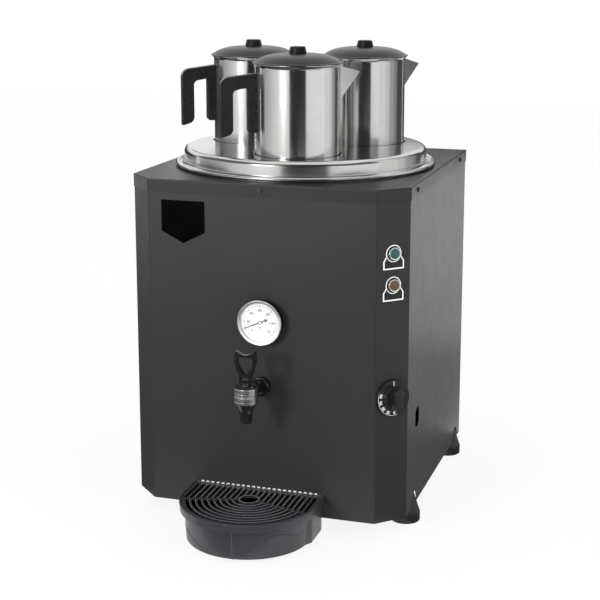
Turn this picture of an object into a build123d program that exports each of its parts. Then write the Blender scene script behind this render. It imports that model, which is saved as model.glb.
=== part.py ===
from build123d import *
from math import atan2, cos, degrees, radians, sin, sqrt
import os

# A three-pot tea boiler: a floor-standing steel cabinet holds an insulated hot-water tank with a
# spring-loaded tap, a dial thermometer and a thermostat. The tank's stepped lid carries three
# teapots. Millimetres, +Z up, the origin on the floor below the middle of the overall box.

# Cabinet
CABINET_WIDTH = 440.0
CABINET_DEPTH = 452.0
CORNER_CUT = 40.0
SHEET = 1.2
PANEL_BOTTOM = 26.0
COVER_TOP = 539.0
COVER_RIM = 20.0
RIM_SEAM = 0.6
RETURN_FLANGE = 16.0
BASE_PAN_HEIGHT = 20.0

# How far the tray stands out in front and the cable gland behind
TRAY_REACH = 152.0
GLAND_REACH = 27.0

# Feet
FOOT_X = 206.5
FOOT_DEPTHS = (94.0, 412.0)
FOOT_RADIUS = 23.0
FOOT_COLLAR = 15.5
FOOT_TOP_RADIUS = 10.0
FOOT_HEIGHT = 53.0

# Tank and its lid
TANK_RADIUS = 190.0
TANK_BOTTOM = 195.0
TANK_WALL = 1.2
TANK_RIM_RADIUS = 203.0
LID_RADIUS = 210.0
LID_STEP_RADIUS = 196.0
LID_TOP = 569.0
LID_SHEET = 1.0

# Teapots: each has its bearing round the lid and the bearings of its beak and handle, in degrees
POT_RADIUS = 65.5
POT_WALL = 0.9
POT_SEAT = 12.0
POT_RIM = 709.0
POT_LID_RADIUS = 70.5
POT_LID_DOME = 15.0
POT_KNOB = 11.0
POT_PITCH_RADIUS = 106.0
POTS = (
    ("front", -79.0, 36.0, 207.0),
    ("left", 161.0, 40.0, 211.0),
    ("right", 41.0, 43.0, 214.0),
)

# Front fittings: heights of the tap shank and the thermometer, and the tap's standing-out
TAP_HEIGHT = 228.0
TAP_REACH = 68.0
GAUGE_X = 3.4
GAUGE_HEIGHT = 330.6
GAUGE_RADIUS = 35.0
GAUGE_DEPTH = 18.0

# Right-hand corner fittings
LAMP_HEIGHTS = (442.7, 395.0)
KNOB_HEIGHT = 223.0
KNOB_RADIUS = 28.0

# Drip tray
TRAY_X = -4.0
TRAY_RADIUS = 106.0
TRAY_CENTRE = 46.0
TRAY_TOP = 63.0
TRAY_BOTTOM = 6.0
TRAY_WALL = 2.5

# Worked-out places
FRONT_Y = TRAY_REACH - (TRAY_REACH + CABINET_DEPTH + GLAND_REACH) / 2
BACK_Y = FRONT_Y + CABINET_DEPTH
TANK_Y = FRONT_Y + CABINET_DEPTH / 2
TANK_FRONT = TANK_Y - TANK_RADIUS
COVER_UNDER = COVER_TOP - SHEET
TAP_Y = FRONT_Y - TAP_REACH
TRAY_Y = FRONT_Y - TRAY_CENTRE
POT_BOTTOM = LID_TOP - POT_SEAT

BOTTOM_ALIGN = (Align.CENTER, Align.CENTER, Align.MIN)
TANK_AXIS = Axis((0, TANK_Y, 0), (0, 0, 1))
TANK_PROFILE = Plane(origin=(0, TANK_Y, 0), x_dir=(1, 0, 0), z_dir=(0, -1, 0))
FRONT_PLANE = Plane(origin=(0, FRONT_Y, 0), x_dir=(1, 0, 0), z_dir=(0, -1, 0))
BACK_PLANE = Plane(origin=(0, BACK_Y, 0), x_dir=(-1, 0, 0), z_dir=(0, 1, 0))
CORNER_PLANE = Plane(
    origin=((CABINET_WIDTH - CORNER_CUT) / 2, FRONT_Y + CORNER_CUT / 2, 0),
    x_dir=(1, 1, 0),
    z_dir=(1, -1, 0),
)
RIGHT_PLANE = Plane(origin=(CABINET_WIDTH / 2, 0, 0), x_dir=(0, 1, 0), z_dir=(1, 0, 0))
LEFT_PLANE = Plane(origin=(-CABINET_WIDTH / 2, 0, 0), x_dir=(0, -1, 0), z_dir=(-1, 0, 0))

os.makedirs("parts", exist_ok=True)


def save(piece, name):
    """Label a finished piece and write it to its own file."""
    piece.part.label = name
    export_step(piece.part, f"parts/{name}.step")


def cabinet_points(inset):
    """Plan outline of the cabinet, set in by a distance: a box with its front corners cut."""
    half = CABINET_WIDTH / 2 - inset
    cut = CORNER_CUT - inset * (2 - sqrt(2))
    front = FRONT_Y + inset
    back = BACK_Y - inset
    return [
        (-half + cut, front),
        (half - cut, front),
        (half, front + cut),
        (half, back),
        (-half, back),
        (-half, front + cut),
    ]


def cabinet_ring(outer_inset, inner_inset):
    """Sheet-metal wall between two insets of the plan outline, drawn in the current sketch."""
    Polygon(*cabinet_points(outer_inset), align=None)
    Polygon(*cabinet_points(inner_inset), align=None, mode=Mode.SUBTRACT)


def corner_plane_at(height):
    """Plane on the right-hand corner face, centred across it at a height."""
    return Plane(
        origin=CORNER_PLANE.from_local_coords((0, height, 0)),
        x_dir=(1, 1, 0),
        z_dir=(1, -1, 0),
    )


def front_plane_at(x, height, out=0.0):
    """Plane parallel to the front panel, a distance out from it."""
    return Plane(origin=(x, FRONT_Y - out, height), x_dir=(1, 0, 0), z_dir=(0, -1, 0))


# ---------------------------------------------------------------- feet and base

FOOT_SPOTS = [(x, FRONT_Y + depth) for x in (-FOOT_X, FOOT_X) for depth in FOOT_DEPTHS]
FOOT_BOLT_RADIUS = 4.0
FOOT_BOLT_DEPTH = 30.0
FOOT_BOLT_HEAD = 5.5

with BuildPart() as feet:
    with Locations(*[(x, y, 0) for x, y in FOOT_SPOTS]):
        Cylinder(FOOT_RADIUS, FOOT_COLLAR, align=BOTTOM_ALIGN)
    with Locations(*[(x, y, FOOT_COLLAR) for x, y in FOOT_SPOTS]):
        Cone(FOOT_RADIUS, FOOT_TOP_RADIUS, FOOT_HEIGHT - FOOT_COLLAR, align=BOTTOM_ALIGN)
    fillet(feet.edges().filter_by(GeomType.CIRCLE).group_by(Axis.Z)[0], 1.5)
    with Locations(*[(x, y, FOOT_HEIGHT) for x, y in FOOT_SPOTS]):
        Hole(FOOT_BOLT_RADIUS, depth=FOOT_BOLT_DEPTH)
save(feet, "feet")

with BuildPart() as foot_bolts:
    with Locations(*[(x, y, FOOT_HEIGHT - FOOT_BOLT_DEPTH) for x, y in FOOT_SPOTS]):
        Cylinder(FOOT_BOLT_RADIUS, FOOT_BOLT_DEPTH + SHEET, align=BOTTOM_ALIGN)
    with BuildSketch(Plane.XY.offset(FOOT_HEIGHT + SHEET)):
        with Locations(*FOOT_SPOTS):
            RegularPolygon(6.5, 6)
    extrude(amount=FOOT_BOLT_HEAD)
save(foot_bolts, "foot_bolts")

# The pan stands inside the panels' return flanges and carries the tank on four posts.
PAN_INSET = 2 * SHEET
POST_RADIUS = 150.0
POST_SIZE = 26.0

with BuildPart() as base_plate:
    with BuildSketch(Plane.XY.offset(FOOT_HEIGHT)):
        Polygon(*cabinet_points(PAN_INSET), align=None)
    extrude(amount=SHEET)
    with BuildSketch(Plane.XY.offset(FOOT_HEIGHT + SHEET)):
        cabinet_ring(PAN_INSET, PAN_INSET + SHEET)
    extrude(amount=BASE_PAN_HEIGHT - SHEET)
    with Locations(*[(x, y, FOOT_HEIGHT + SHEET) for x, y in FOOT_SPOTS]):
        Hole(FOOT_BOLT_RADIUS, depth=2 * SHEET)
    with BuildSketch(Plane.XY.offset(FOOT_HEIGHT)):
        with Locations((0, TANK_Y)):
            with GridLocations(60, 22, 3, 4):
                SlotOverall(44, 8)
    extrude(amount=SHEET, mode=Mode.SUBTRACT)
save(base_plate, "base_plate")

with BuildPart() as tank_posts:
    with BuildSketch(Plane.XY.offset(FOOT_HEIGHT + SHEET)):
        with Locations((0, TANK_Y)):
            with PolarLocations(POST_RADIUS, 4, start_angle=45):
                Rectangle(POST_SIZE, POST_SIZE)
                Rectangle(POST_SIZE - 4, POST_SIZE - 4, mode=Mode.SUBTRACT)
    extrude(amount=TANK_BOTTOM - FOOT_HEIGHT - SHEET)
save(tank_posts, "tank_posts")

# ---------------------------------------------------------------- cabinet panels

PANEL_HEIGHT = COVER_UNDER - PANEL_BOTTOM
SHANK_RADIUS = 8.0
STEM_RADIUS = 6.0
LAMP_BARREL_RADIUS = 6.0
SPINDLE_RADIUS = 3.0
BUSH_RADIUS = 5.0
HOOK_X = 58.0
HOOK_WIDTH = 16.0
HOOK_HEIGHT = 34.0
HOOK_ARM = 3.0
HOOK_LIFT = 8.0
COVER_SCREW_RADIUS = 2.0
COVER_SCREW_DROP = 10.0

# Front panel and both corner faces are one folded sheet, with flanges lapped inside the sides.
with BuildPart() as front_panel:
    with BuildSketch(Plane.XY.offset(PANEL_BOTTOM)):
        cabinet_ring(0, SHEET)
        with Locations((0, FRONT_Y + CORNER_CUT)):
            Rectangle(
                CABINET_WIDTH, CABINET_DEPTH * 2, align=(Align.CENTER, Align.MIN),
                mode=Mode.SUBTRACT,
            )
    extrude(amount=PANEL_HEIGHT)
    with BuildSketch(Plane.XY.offset(PANEL_BOTTOM)):
        cabinet_ring(SHEET, PAN_INSET)
        with Locations((0, FRONT_Y + CORNER_CUT + RETURN_FLANGE)):
            Rectangle(
                CABINET_WIDTH, CABINET_DEPTH * 2, align=(Align.CENTER, Align.MIN),
                mode=Mode.SUBTRACT,
            )
        with Locations((0, FRONT_Y + CORNER_CUT - RETURN_FLANGE / 4)):
            Rectangle(
                CABINET_WIDTH, CABINET_DEPTH, align=(Align.CENTER, Align.MAX),
                mode=Mode.SUBTRACT,
            )
    extrude(amount=PANEL_HEIGHT)
    with BuildSketch(FRONT_PLANE):
        with Locations((0, TAP_HEIGHT)):
            Circle(SHANK_RADIUS)
        with Locations((GAUGE_X, GAUGE_HEIGHT)):
            Circle(STEM_RADIUS)
        with Locations((0, COVER_TOP - COVER_SCREW_DROP)):
            Circle(COVER_SCREW_RADIUS)
        with Locations((TRAY_X - HOOK_X, HOOK_HEIGHT), (TRAY_X + HOOK_X, HOOK_HEIGHT)):
            Rectangle(
                HOOK_WIDTH + 1.2, HOOK_ARM + HOOK_LIFT + 1, align=(Align.CENTER, Align.MIN)
            )
    extrude(amount=-2 * SHEET, mode=Mode.SUBTRACT)
    with BuildSketch(CORNER_PLANE):
        with Locations(*[(0, height) for height in LAMP_HEIGHTS]):
            Circle(LAMP_BARREL_RADIUS)
        with Locations((0, KNOB_HEIGHT)):
            Circle(BUSH_RADIUS)
        with Locations((0, KNOB_HEIGHT + KNOB_RADIUS + 7.7)):
            Circle(1.2)
    extrude(amount=-3 * SHEET, mode=Mode.SUBTRACT)
save(front_panel, "front_panel")

SCREW_DEPTHS = (82.0, 400.0)
ARCH_HALF_WIDTH = 18.0
ARCH_HEIGHT = 22.0
CUTOUT_DEPTH = 107.0
CUTOUT_HEIGHT = 166.0
CUTOUT_SIZE = (25.0, 31.0)
CUTOUT_CORNER = 6.0

with BuildPart() as side_panel_right:
    with BuildSketch(RIGHT_PLANE):
        with Locations((FRONT_Y + (CORNER_CUT + CABINET_DEPTH) / 2, PANEL_BOTTOM + PANEL_HEIGHT / 2)):
            Rectangle(CABINET_DEPTH - CORNER_CUT, PANEL_HEIGHT)
        with Locations(*[(FRONT_Y + depth, PANEL_BOTTOM) for depth in FOOT_DEPTHS]):
            Ellipse(ARCH_HALF_WIDTH, ARCH_HEIGHT, mode=Mode.SUBTRACT)
        with Locations(*[(FRONT_Y + depth, COVER_TOP - COVER_SCREW_DROP) for depth in SCREW_DEPTHS]):
            Circle(COVER_SCREW_RADIUS, mode=Mode.SUBTRACT)
        with Locations((FRONT_Y + CUTOUT_DEPTH, CUTOUT_HEIGHT)):
            Polygon(
                (-CUTOUT_SIZE[0] / 2, -CUTOUT_SIZE[1] / 2 + CUTOUT_CORNER),
                (-CUTOUT_SIZE[0] / 2 + CUTOUT_CORNER, -CUTOUT_SIZE[1] / 2),
                (CUTOUT_SIZE[0] / 2 - CUTOUT_CORNER, -CUTOUT_SIZE[1] / 2),
                (CUTOUT_SIZE[0] / 2, -CUTOUT_SIZE[1] / 2 + CUTOUT_CORNER),
                (CUTOUT_SIZE[0] / 2, CUTOUT_SIZE[1] / 2 - CUTOUT_CORNER),
                (CUTOUT_SIZE[0] / 2 - CUTOUT_CORNER, CUTOUT_SIZE[1] / 2),
                (-CUTOUT_SIZE[0] / 2 + CUTOUT_CORNER, CUTOUT_SIZE[1] / 2),
                (-CUTOUT_SIZE[0] / 2, CUTOUT_SIZE[1] / 2 - CUTOUT_CORNER),
                align=None,
                mode=Mode.SUBTRACT,
            )
    extrude(amount=-SHEET)
save(side_panel_right, "side_panel_right")

with BuildPart() as side_panel_left:
    with BuildSketch(LEFT_PLANE):
        with Locations((-FRONT_Y - (CORNER_CUT + CABINET_DEPTH) / 2, PANEL_BOTTOM + PANEL_HEIGHT / 2)):
            Rectangle(CABINET_DEPTH - CORNER_CUT, PANEL_HEIGHT)
        with Locations(*[(-FRONT_Y - depth, PANEL_BOTTOM) for depth in FOOT_DEPTHS]):
            Ellipse(ARCH_HALF_WIDTH, ARCH_HEIGHT, mode=Mode.SUBTRACT)
        with Locations(*[(-FRONT_Y - depth, COVER_TOP - COVER_SCREW_DROP) for depth in SCREW_DEPTHS]):
            Circle(COVER_SCREW_RADIUS, mode=Mode.SUBTRACT)
    extrude(amount=-SHEET)
save(side_panel_left, "side_panel_left")

# Back sheet between the sides, its flanges lapped inside them, with vent slots and a gland hole.
GLAND_X = -150.0
GLAND_HEIGHT = 95.0
GLAND_THREAD_RADIUS = 10.0
GLAND_BORE_RADIUS = 4.5
VENT_HEIGHT = 430.0
VENT_PITCH = 14.0

with BuildPart() as back_panel:
    with BuildSketch(Plane.XY.offset(PANEL_BOTTOM)):
        cabinet_ring(SHEET, PAN_INSET)
        with Locations((0, BACK_Y - RETURN_FLANGE)):
            Rectangle(
                CABINET_WIDTH, CABINET_DEPTH * 2, align=(Align.CENTER, Align.MAX),
                mode=Mode.SUBTRACT,
            )
    extrude(amount=PANEL_HEIGHT)
    with BuildSketch(BACK_PLANE):
        with Locations((0, VENT_HEIGHT)):
            with GridLocations(90, VENT_PITCH, 2, 6):
                SlotOverall(70, 5)
        with Locations((-GLAND_X, GLAND_HEIGHT)):
            Circle(GLAND_THREAD_RADIUS)
        with Locations(*[(x, COVER_TOP - COVER_SCREW_DROP) for x in (-140, 140)]):
            Circle(COVER_SCREW_RADIUS)
    extrude(amount=-3 * SHEET, mode=Mode.SUBTRACT)
save(back_panel, "back_panel")

# Cover: a shallow pan over the panels, open above the tank, its rim cut at the folded corners.
COVER_HOLE_RADIUS = TANK_RADIUS + 4.0
half_width = CABINET_WIDTH / 2
front_edge = half_width - CORNER_CUT
seam_spots = [
    (front_edge, FRONT_Y),
    (half_width, FRONT_Y + CORNER_CUT),
    (half_width, BACK_Y),
    (-front_edge, FRONT_Y),
    (-half_width, FRONT_Y + CORNER_CUT),
    (-half_width, BACK_Y),
]

with BuildPart() as top_cover:
    with BuildSketch(Plane.XY.offset(COVER_TOP - COVER_RIM)):
        cabinet_ring(-SHEET, 0)
        with Locations(*seam_spots):
            Rectangle(RIM_SEAM, 5 * SHEET, mode=Mode.SUBTRACT)
    extrude(amount=COVER_RIM - SHEET)
    with BuildSketch(Plane.XY.offset(COVER_UNDER)):
        Polygon(*cabinet_points(-SHEET), align=None)
        with Locations((0, TANK_Y)):
            Circle(COVER_HOLE_RADIUS, mode=Mode.SUBTRACT)
    extrude(amount=SHEET)
    fillet(top_cover.edges().filter_by(Plane.XY).group_by(Axis.Z)[-1].filter_by(GeomType.LINE), 0.9)
    with BuildSketch(FRONT_PLANE.offset(2 * SHEET)):
        with Locations((0, COVER_TOP - COVER_SCREW_DROP)):
            Circle(COVER_SCREW_RADIUS)
    extrude(amount=-3 * SHEET, mode=Mode.SUBTRACT)
    with BuildSketch(BACK_PLANE.offset(2 * SHEET)):
        with Locations(*[(x, COVER_TOP - COVER_SCREW_DROP) for x in (-140, 140)]):
            Circle(COVER_SCREW_RADIUS)
    extrude(amount=-3 * SHEET, mode=Mode.SUBTRACT)
    with BuildSketch(RIGHT_PLANE.offset(2 * SHEET)):
        with Locations(*[(FRONT_Y + depth, COVER_TOP - COVER_SCREW_DROP) for depth in SCREW_DEPTHS]):
            Circle(COVER_SCREW_RADIUS)
    extrude(amount=-3 * SHEET, mode=Mode.SUBTRACT)
    with BuildSketch(LEFT_PLANE.offset(2 * SHEET)):
        with Locations(*[(-FRONT_Y - depth, COVER_TOP - COVER_SCREW_DROP) for depth in SCREW_DEPTHS]):
            Circle(COVER_SCREW_RADIUS)
    extrude(amount=-3 * SHEET, mode=Mode.SUBTRACT)
save(top_cover, "top_cover")

# Pan-head screws through the rim: one in front, two on each side, two behind.
SCREW_HEAD_RADIUS = 3.8
SCREW_HEAD = 2.0
SCREW_SHANK = 8.0
SCREW_RECESS = 1.0
screw_height = COVER_TOP - COVER_SCREW_DROP
screw_planes = [Plane(origin=(0, FRONT_Y - SHEET, screw_height), z_dir=(0, -1, 0))]
screw_planes += [Plane(origin=(x, BACK_Y + SHEET, screw_height), z_dir=(0, 1, 0)) for x in (-140, 140)]
for side in (-1, 1):
    for depth in SCREW_DEPTHS:
        screw_origin = (side * (half_width + SHEET), FRONT_Y + depth, screw_height)
        screw_planes.append(Plane(origin=screw_origin, z_dir=(side, 0, 0)))

with BuildPart() as cover_screws:
    for plane in screw_planes:
        with BuildSketch(plane):
            Circle(SCREW_HEAD_RADIUS)
        extrude(amount=SCREW_HEAD)
    fillet(cover_screws.edges().filter_by(GeomType.CIRCLE), 0.8)
    for plane in screw_planes:
        with BuildSketch(plane.offset(SCREW_HEAD)):
            Rectangle(4.2, 0.9)
            Rectangle(0.9, 4.2)
        extrude(amount=-SCREW_RECESS, mode=Mode.SUBTRACT)
        with BuildSketch(plane.offset(SCREW_HEAD - SCREW_RECESS)):
            Circle(COVER_SCREW_RADIUS)
        extrude(amount=-SCREW_SHANK)
save(cover_screws, "cover_screws")

# Bare shield-shaped badge plate on the front panel.
BADGE_LEFT = -158.5
BADGE_WIDTH = 70.0
BADGE_TOP = 507.5
BADGE_SHOULDER = 459.5
BADGE_TIP = 442.0
BADGE_THICK = 1.0

with BuildPart() as badge_plate:
    with BuildSketch(FRONT_PLANE):
        Polygon(
            (BADGE_LEFT, BADGE_TOP),
            (BADGE_LEFT, BADGE_SHOULDER),
            (BADGE_LEFT + BADGE_WIDTH / 2, BADGE_TIP),
            (BADGE_LEFT + BADGE_WIDTH, BADGE_SHOULDER),
            (BADGE_LEFT + BADGE_WIDTH, BADGE_TOP),
            align=None,
        )
    extrude(amount=BADGE_THICK)
    chamfer(badge_plate.edges().group_by(Axis.Y)[0], 0.3)
save(badge_plate, "badge_plate")

# ---------------------------------------------------------------- tank

TAP_BOSS_RADIUS = 14.0
STEM_BOSS_RADIUS = 11.0
BOSS_FRONT = TANK_FRONT - 8.0
BOSS_LENGTH = 14.0
ELEMENT_LEG_X = 30.0
ELEMENT_ROD = 4.5
BULB_HEIGHT = 214.0
BULB_RADIUS = 3.0
BULB_BOSS_RADIUS = 7.0
bulb_direction = Vector(1, -1, 0).normalized()
bulb_wall = Vector(0, TANK_Y, BULB_HEIGHT) + bulb_direction * TANK_RADIUS
element_leg_spots = [(-ELEMENT_LEG_X, TANK_Y + 110), (ELEMENT_LEG_X, TANK_Y + 110)]

with BuildPart() as tank_shell:
    with BuildSketch(TANK_PROFILE):
        with BuildLine():
            Polyline(
                (0, TANK_BOTTOM),
                (TANK_RADIUS - 14, TANK_BOTTOM),
                (TANK_RADIUS - 4, TANK_BOTTOM + 4),
                (TANK_RADIUS, TANK_BOTTOM + 14),
                (TANK_RADIUS, COVER_TOP),
                (TANK_RIM_RADIUS, COVER_TOP),
                (TANK_RIM_RADIUS, COVER_TOP + TANK_WALL),
                (TANK_RADIUS - TANK_WALL, COVER_TOP + TANK_WALL),
                (TANK_RADIUS - TANK_WALL, TANK_BOTTOM + 14.5),
                (TANK_RADIUS - 4.8, TANK_BOTTOM + 5),
                (TANK_RADIUS - 14.5, TANK_BOTTOM + TANK_WALL),
                (0, TANK_BOTTOM + TANK_WALL),
                close=True,
            )
        make_face()
    revolve(axis=TANK_AXIS)
    with BuildSketch(Plane.XZ.offset(-BOSS_FRONT)):
        with Locations((0, TAP_HEIGHT)):
            Circle(TAP_BOSS_RADIUS)
        with Locations((GAUGE_X, GAUGE_HEIGHT)):
            Circle(STEM_BOSS_RADIUS)
    extrude(amount=-BOSS_LENGTH)
    with BuildSketch(Plane(origin=bulb_wall + bulb_direction * 6, z_dir=-bulb_direction)):
        Circle(BULB_BOSS_RADIUS)
    extrude(amount=12)
    with BuildSketch(Plane.XZ.offset(-BOSS_FRONT)):
        with Locations((0, TAP_HEIGHT)):
            Circle(SHANK_RADIUS)
        with Locations((GAUGE_X, GAUGE_HEIGHT)):
            Circle(STEM_RADIUS)
    extrude(amount=-2 * BOSS_LENGTH, mode=Mode.SUBTRACT)
    with BuildSketch(Plane(origin=bulb_wall + bulb_direction * 8, z_dir=-bulb_direction)):
        Circle(BULB_RADIUS)
    extrude(amount=16, mode=Mode.SUBTRACT)
    with Locations(*[(x, y, TANK_BOTTOM) for x, y in element_leg_spots]):
        Cylinder(ELEMENT_ROD, 8 * TANK_WALL, mode=Mode.SUBTRACT)
save(tank_shell, "tank_shell")

JACKET_RADIUS = 207.0
JACKET_BOTTOM = TANK_BOTTOM + 18.0

with BuildPart() as insulation_jacket:
    with BuildSketch(Plane.XY.offset(JACKET_BOTTOM)):
        with Locations((0, TANK_Y)):
            Circle(JACKET_RADIUS)
            Circle(TANK_RADIUS, mode=Mode.SUBTRACT)
    extrude(amount=COVER_UNDER - 12 - JACKET_BOTTOM)
    with BuildSketch(Plane.XZ.offset(-FRONT_Y)):
        with Locations((0, TAP_HEIGHT)):
            Circle(TAP_BOSS_RADIUS + 2)
        with Locations((GAUGE_X, GAUGE_HEIGHT)):
            Circle(STEM_BOSS_RADIUS + 2)
    extrude(amount=-100, mode=Mode.SUBTRACT)
    with BuildSketch(Plane(origin=bulb_wall + bulb_direction * 30, z_dir=-bulb_direction)):
        Circle(BULB_BOSS_RADIUS + 12)
    extrude(amount=40, mode=Mode.SUBTRACT)
save(insulation_jacket, "insulation_jacket")

# Immersion heater: an almost closed ring whose two ends go down through the tank's bottom.
ELEMENT_HEIGHT = TANK_BOTTOM + 24.0
ELEMENT_LEG_DROP = 30.0
ELEMENT_NUT = 9.0
element_gap = degrees(atan2(ELEMENT_LEG_X, 110))

with BuildPart() as heating_element:
    ring_start = Plane(
        origin=(ELEMENT_LEG_X, TANK_Y + 110, ELEMENT_HEIGHT),
        x_dir=(ELEMENT_LEG_X, 110, 0),
        z_dir=(110, -ELEMENT_LEG_X, 0),
    )
    with BuildSketch(ring_start):
        Circle(ELEMENT_ROD)
    revolve(axis=Axis((0, TANK_Y, 0), (0, 0, -1)), revolution_arc=360 - 2 * element_gap)
    with Locations(*[(x, y, ELEMENT_HEIGHT) for x, y in element_leg_spots]):
        Sphere(ELEMENT_ROD + 0.3)
    with Locations(*[(x, y, TANK_BOTTOM - ELEMENT_LEG_DROP) for x, y in element_leg_spots]):
        Cylinder(ELEMENT_ROD, ELEMENT_HEIGHT - TANK_BOTTOM + ELEMENT_LEG_DROP, align=BOTTOM_ALIGN)
    with Locations(*[(x, y, TANK_BOTTOM + TANK_WALL) for x, y in element_leg_spots]):
        Cylinder(ELEMENT_NUT, 4, align=BOTTOM_ALIGN)
save(heating_element, "heating_element")

with BuildPart() as heater_nuts:
    with BuildSketch(Plane.XY.offset(TANK_BOTTOM)):
        with Locations(*element_leg_spots):
            RegularPolygon(ELEMENT_NUT, 6)
            Circle(ELEMENT_ROD, mode=Mode.SUBTRACT)
    extrude(amount=-7)
save(heater_nuts, "heater_nuts")

# Bimetal cut-out clipped against the tank's underside.
with BuildPart() as limit_thermostat:
    with Locations((-70, TANK_Y - 40, TANK_BOTTOM)):
        Cylinder(9, 8, align=(Align.CENTER, Align.CENTER, Align.MAX))
    with Locations((-70, TANK_Y - 40, TANK_BOTTOM - 8)):
        Cylinder(7, 6, align=(Align.CENTER, Align.CENTER, Align.MAX))
        Box(24, 5, 1.5, align=(Align.CENTER, Align.CENTER, Align.MAX))
save(limit_thermostat, "limit_thermostat")

# ---------------------------------------------------------------- tank lid

LID_BEAD = 6.0
LID_BEAD_WIDTH = 5.0
LID_FLANGE = COVER_TOP + TANK_WALL
WELL_RADIUS = POT_RADIUS + 1.3
WELL_OPENING = 44.0
LID_CORNER = 8.0
LID_SKIRT_RADIUS = TANK_RADIUS - TANK_WALL - 1.0
LID_SKIRT_DROP = 12.0
pot_spots = [
    (POT_PITCH_RADIUS * cos(radians(angle)), TANK_Y + POT_PITCH_RADIUS * sin(radians(angle)))
    for _, angle, _, _ in POTS
]

with BuildPart() as tank_lid:
    with BuildSketch(TANK_PROFILE):
        with BuildLine():
            lid_shoulder = LID_STEP_RADIUS - LID_CORNER
            l1 = Line((0, LID_TOP), (lid_shoulder, LID_TOP))
            l2 = RadiusArc(l1 @ 1, (LID_STEP_RADIUS, LID_TOP - LID_CORNER), LID_CORNER)
            l3 = Line(l2 @ 1, (LID_STEP_RADIUS, LID_FLANGE + 7))
            l4 = RadiusArc(l3 @ 1, (LID_STEP_RADIUS + 5, LID_FLANGE + 2), -5)
            l5 = Polyline(
                l4 @ 1,
                (LID_RADIUS - LID_BEAD_WIDTH, LID_FLANGE + 2),
                (LID_RADIUS - LID_BEAD_WIDTH + 1, LID_FLANGE + LID_BEAD - 1),
                (LID_RADIUS - LID_BEAD_WIDTH / 2, LID_FLANGE + LID_BEAD),
                (LID_RADIUS - 0.5, LID_FLANGE + LID_BEAD - 1.5),
                (LID_RADIUS, LID_FLANGE + LID_BEAD / 2),
                (LID_RADIUS - 0.5, LID_FLANGE + 1.5),
                (LID_RADIUS - LID_BEAD_WIDTH / 2, LID_FLANGE + 0.4),
                (LID_RADIUS - LID_BEAD_WIDTH - 1, LID_FLANGE),
                (LID_SKIRT_RADIUS, LID_FLANGE),
                (LID_SKIRT_RADIUS, LID_FLANGE - LID_SKIRT_DROP),
                (LID_SKIRT_RADIUS - LID_SHEET, LID_FLANGE - LID_SKIRT_DROP),
                (LID_SKIRT_RADIUS - LID_SHEET, LID_FLANGE + LID_SHEET),
                (LID_STEP_RADIUS - LID_SHEET, LID_FLANGE + LID_SHEET),
                (LID_STEP_RADIUS - LID_SHEET, LID_TOP - LID_CORNER),
            )
            l6 = RadiusArc(
                l5 @ 1, (lid_shoulder, LID_TOP - LID_SHEET), -(LID_CORNER - LID_SHEET)
            )
            Polyline(l6 @ 1, (0, LID_TOP - LID_SHEET), (0, LID_TOP))
        make_face()
    revolve(axis=TANK_AXIS)
    with BuildSketch(Plane.XY.offset(LID_TOP)):
        with Locations(*pot_spots):
            Circle(WELL_RADIUS + LID_SHEET)
    extrude(amount=-POT_SEAT)
    with BuildSketch(Plane.XY.offset(LID_TOP)):
        with Locations(*pot_spots):
            Circle(WELL_RADIUS)
    extrude(amount=-POT_SEAT, mode=Mode.SUBTRACT)
save(tank_lid, "tank_lid")

# Flat rings welded under the wells, which the pots stand on and the steam comes up through.
with BuildPart() as pot_seats:
    with BuildSketch(Plane.XY.offset(POT_BOTTOM)):
        with Locations(*pot_spots):
            Circle(WELL_RADIUS + LID_SHEET)
            Circle(WELL_OPENING, mode=Mode.SUBTRACT)
    extrude(amount=-LID_SHEET)
save(pot_seats, "pot_seats")

# ---------------------------------------------------------------- teapots

POT_CORNER = 6.0
POT_FLARE_START = POT_RIM - 5.0
POT_LIP_RADIUS = 68.0
SPOUT_PROJECTION = 37.0
SPOUT_TOP = POT_RIM - 6.0
SPOUT_DROP = 10.0
SPOUT_HEIGHT = 52.0
SPOUT_HALF_WIDTH = 25.0
SPOUT_ROOT = POT_RADIUS - sqrt(POT_RADIUS ** 2 - SPOUT_HALF_WIDTH ** 2) + 1.0
HANDLE_REACH = 121.0
HANDLE_LEG = 20.0
HANDLE_THICK = 16.0
HANDLE_TOP = POT_RIM - 17.0
HANDLE_SLOPE = 8.0
HANDLE_OUTER_BOTTOM = 597.0
HANDLE_INNER_BOTTOM = 604.0
HANDLE_INNER_LEG = 79.0
HANDLE_BAR = 20.0
POT_LID_BRIM = 66.6
POT_LID_SHEET = 0.9
POT_LID_PLUG = 8.0
POT_LID_PLUG_RADIUS = 62.4
POT_LID_TOP = POT_RIM + POT_LID_DOME
# A lid's dome outside and inside: points given as radius and drop below its crown.
DOME_OUTSIDE = ((21.0, 0.6), (42.0, 2.3), (56.0, 6.4), (67.5, 13.0))
DOME_INSIDE = ((21.0, 1.5), (41.9, 3.2), (55.6, 7.2), (POT_LID_BRIM, 13.5))
KNOB_BASE_RADIUS = 13.5
KNOB_TOP_RADIUS = 11.5
POT_HOLE_RADIUS = 2.2


def pot_axis_planes(x, y, turn):
    """Radial planes of one pot: the profile plane and the plane whose X points at an angle."""
    out = Vector(cos(radians(turn)), sin(radians(turn)), 0)
    normal = Vector(sin(radians(turn)), -cos(radians(turn)), 0)
    return Plane(origin=(x, y, 0), x_dir=out, z_dir=normal)


def dome_arcs(points, crown):
    """Two arcs from a lid's axis out to its brim, drawn in the open line."""
    middle, shoulder_start, shoulder, end = [(radius, POT_LID_TOP - drop) for radius, drop in points]
    ThreePointArc((0, crown), middle, shoulder_start)
    ThreePointArc(shoulder_start, shoulder, end)


def beak_section(plane, root, half_width, tip):
    """Triangle across a beak: its two roots on the body and its pouring tip."""
    return plane * Polygon((root, -half_width), (tip, 0), (root, half_width), align=None)


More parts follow.
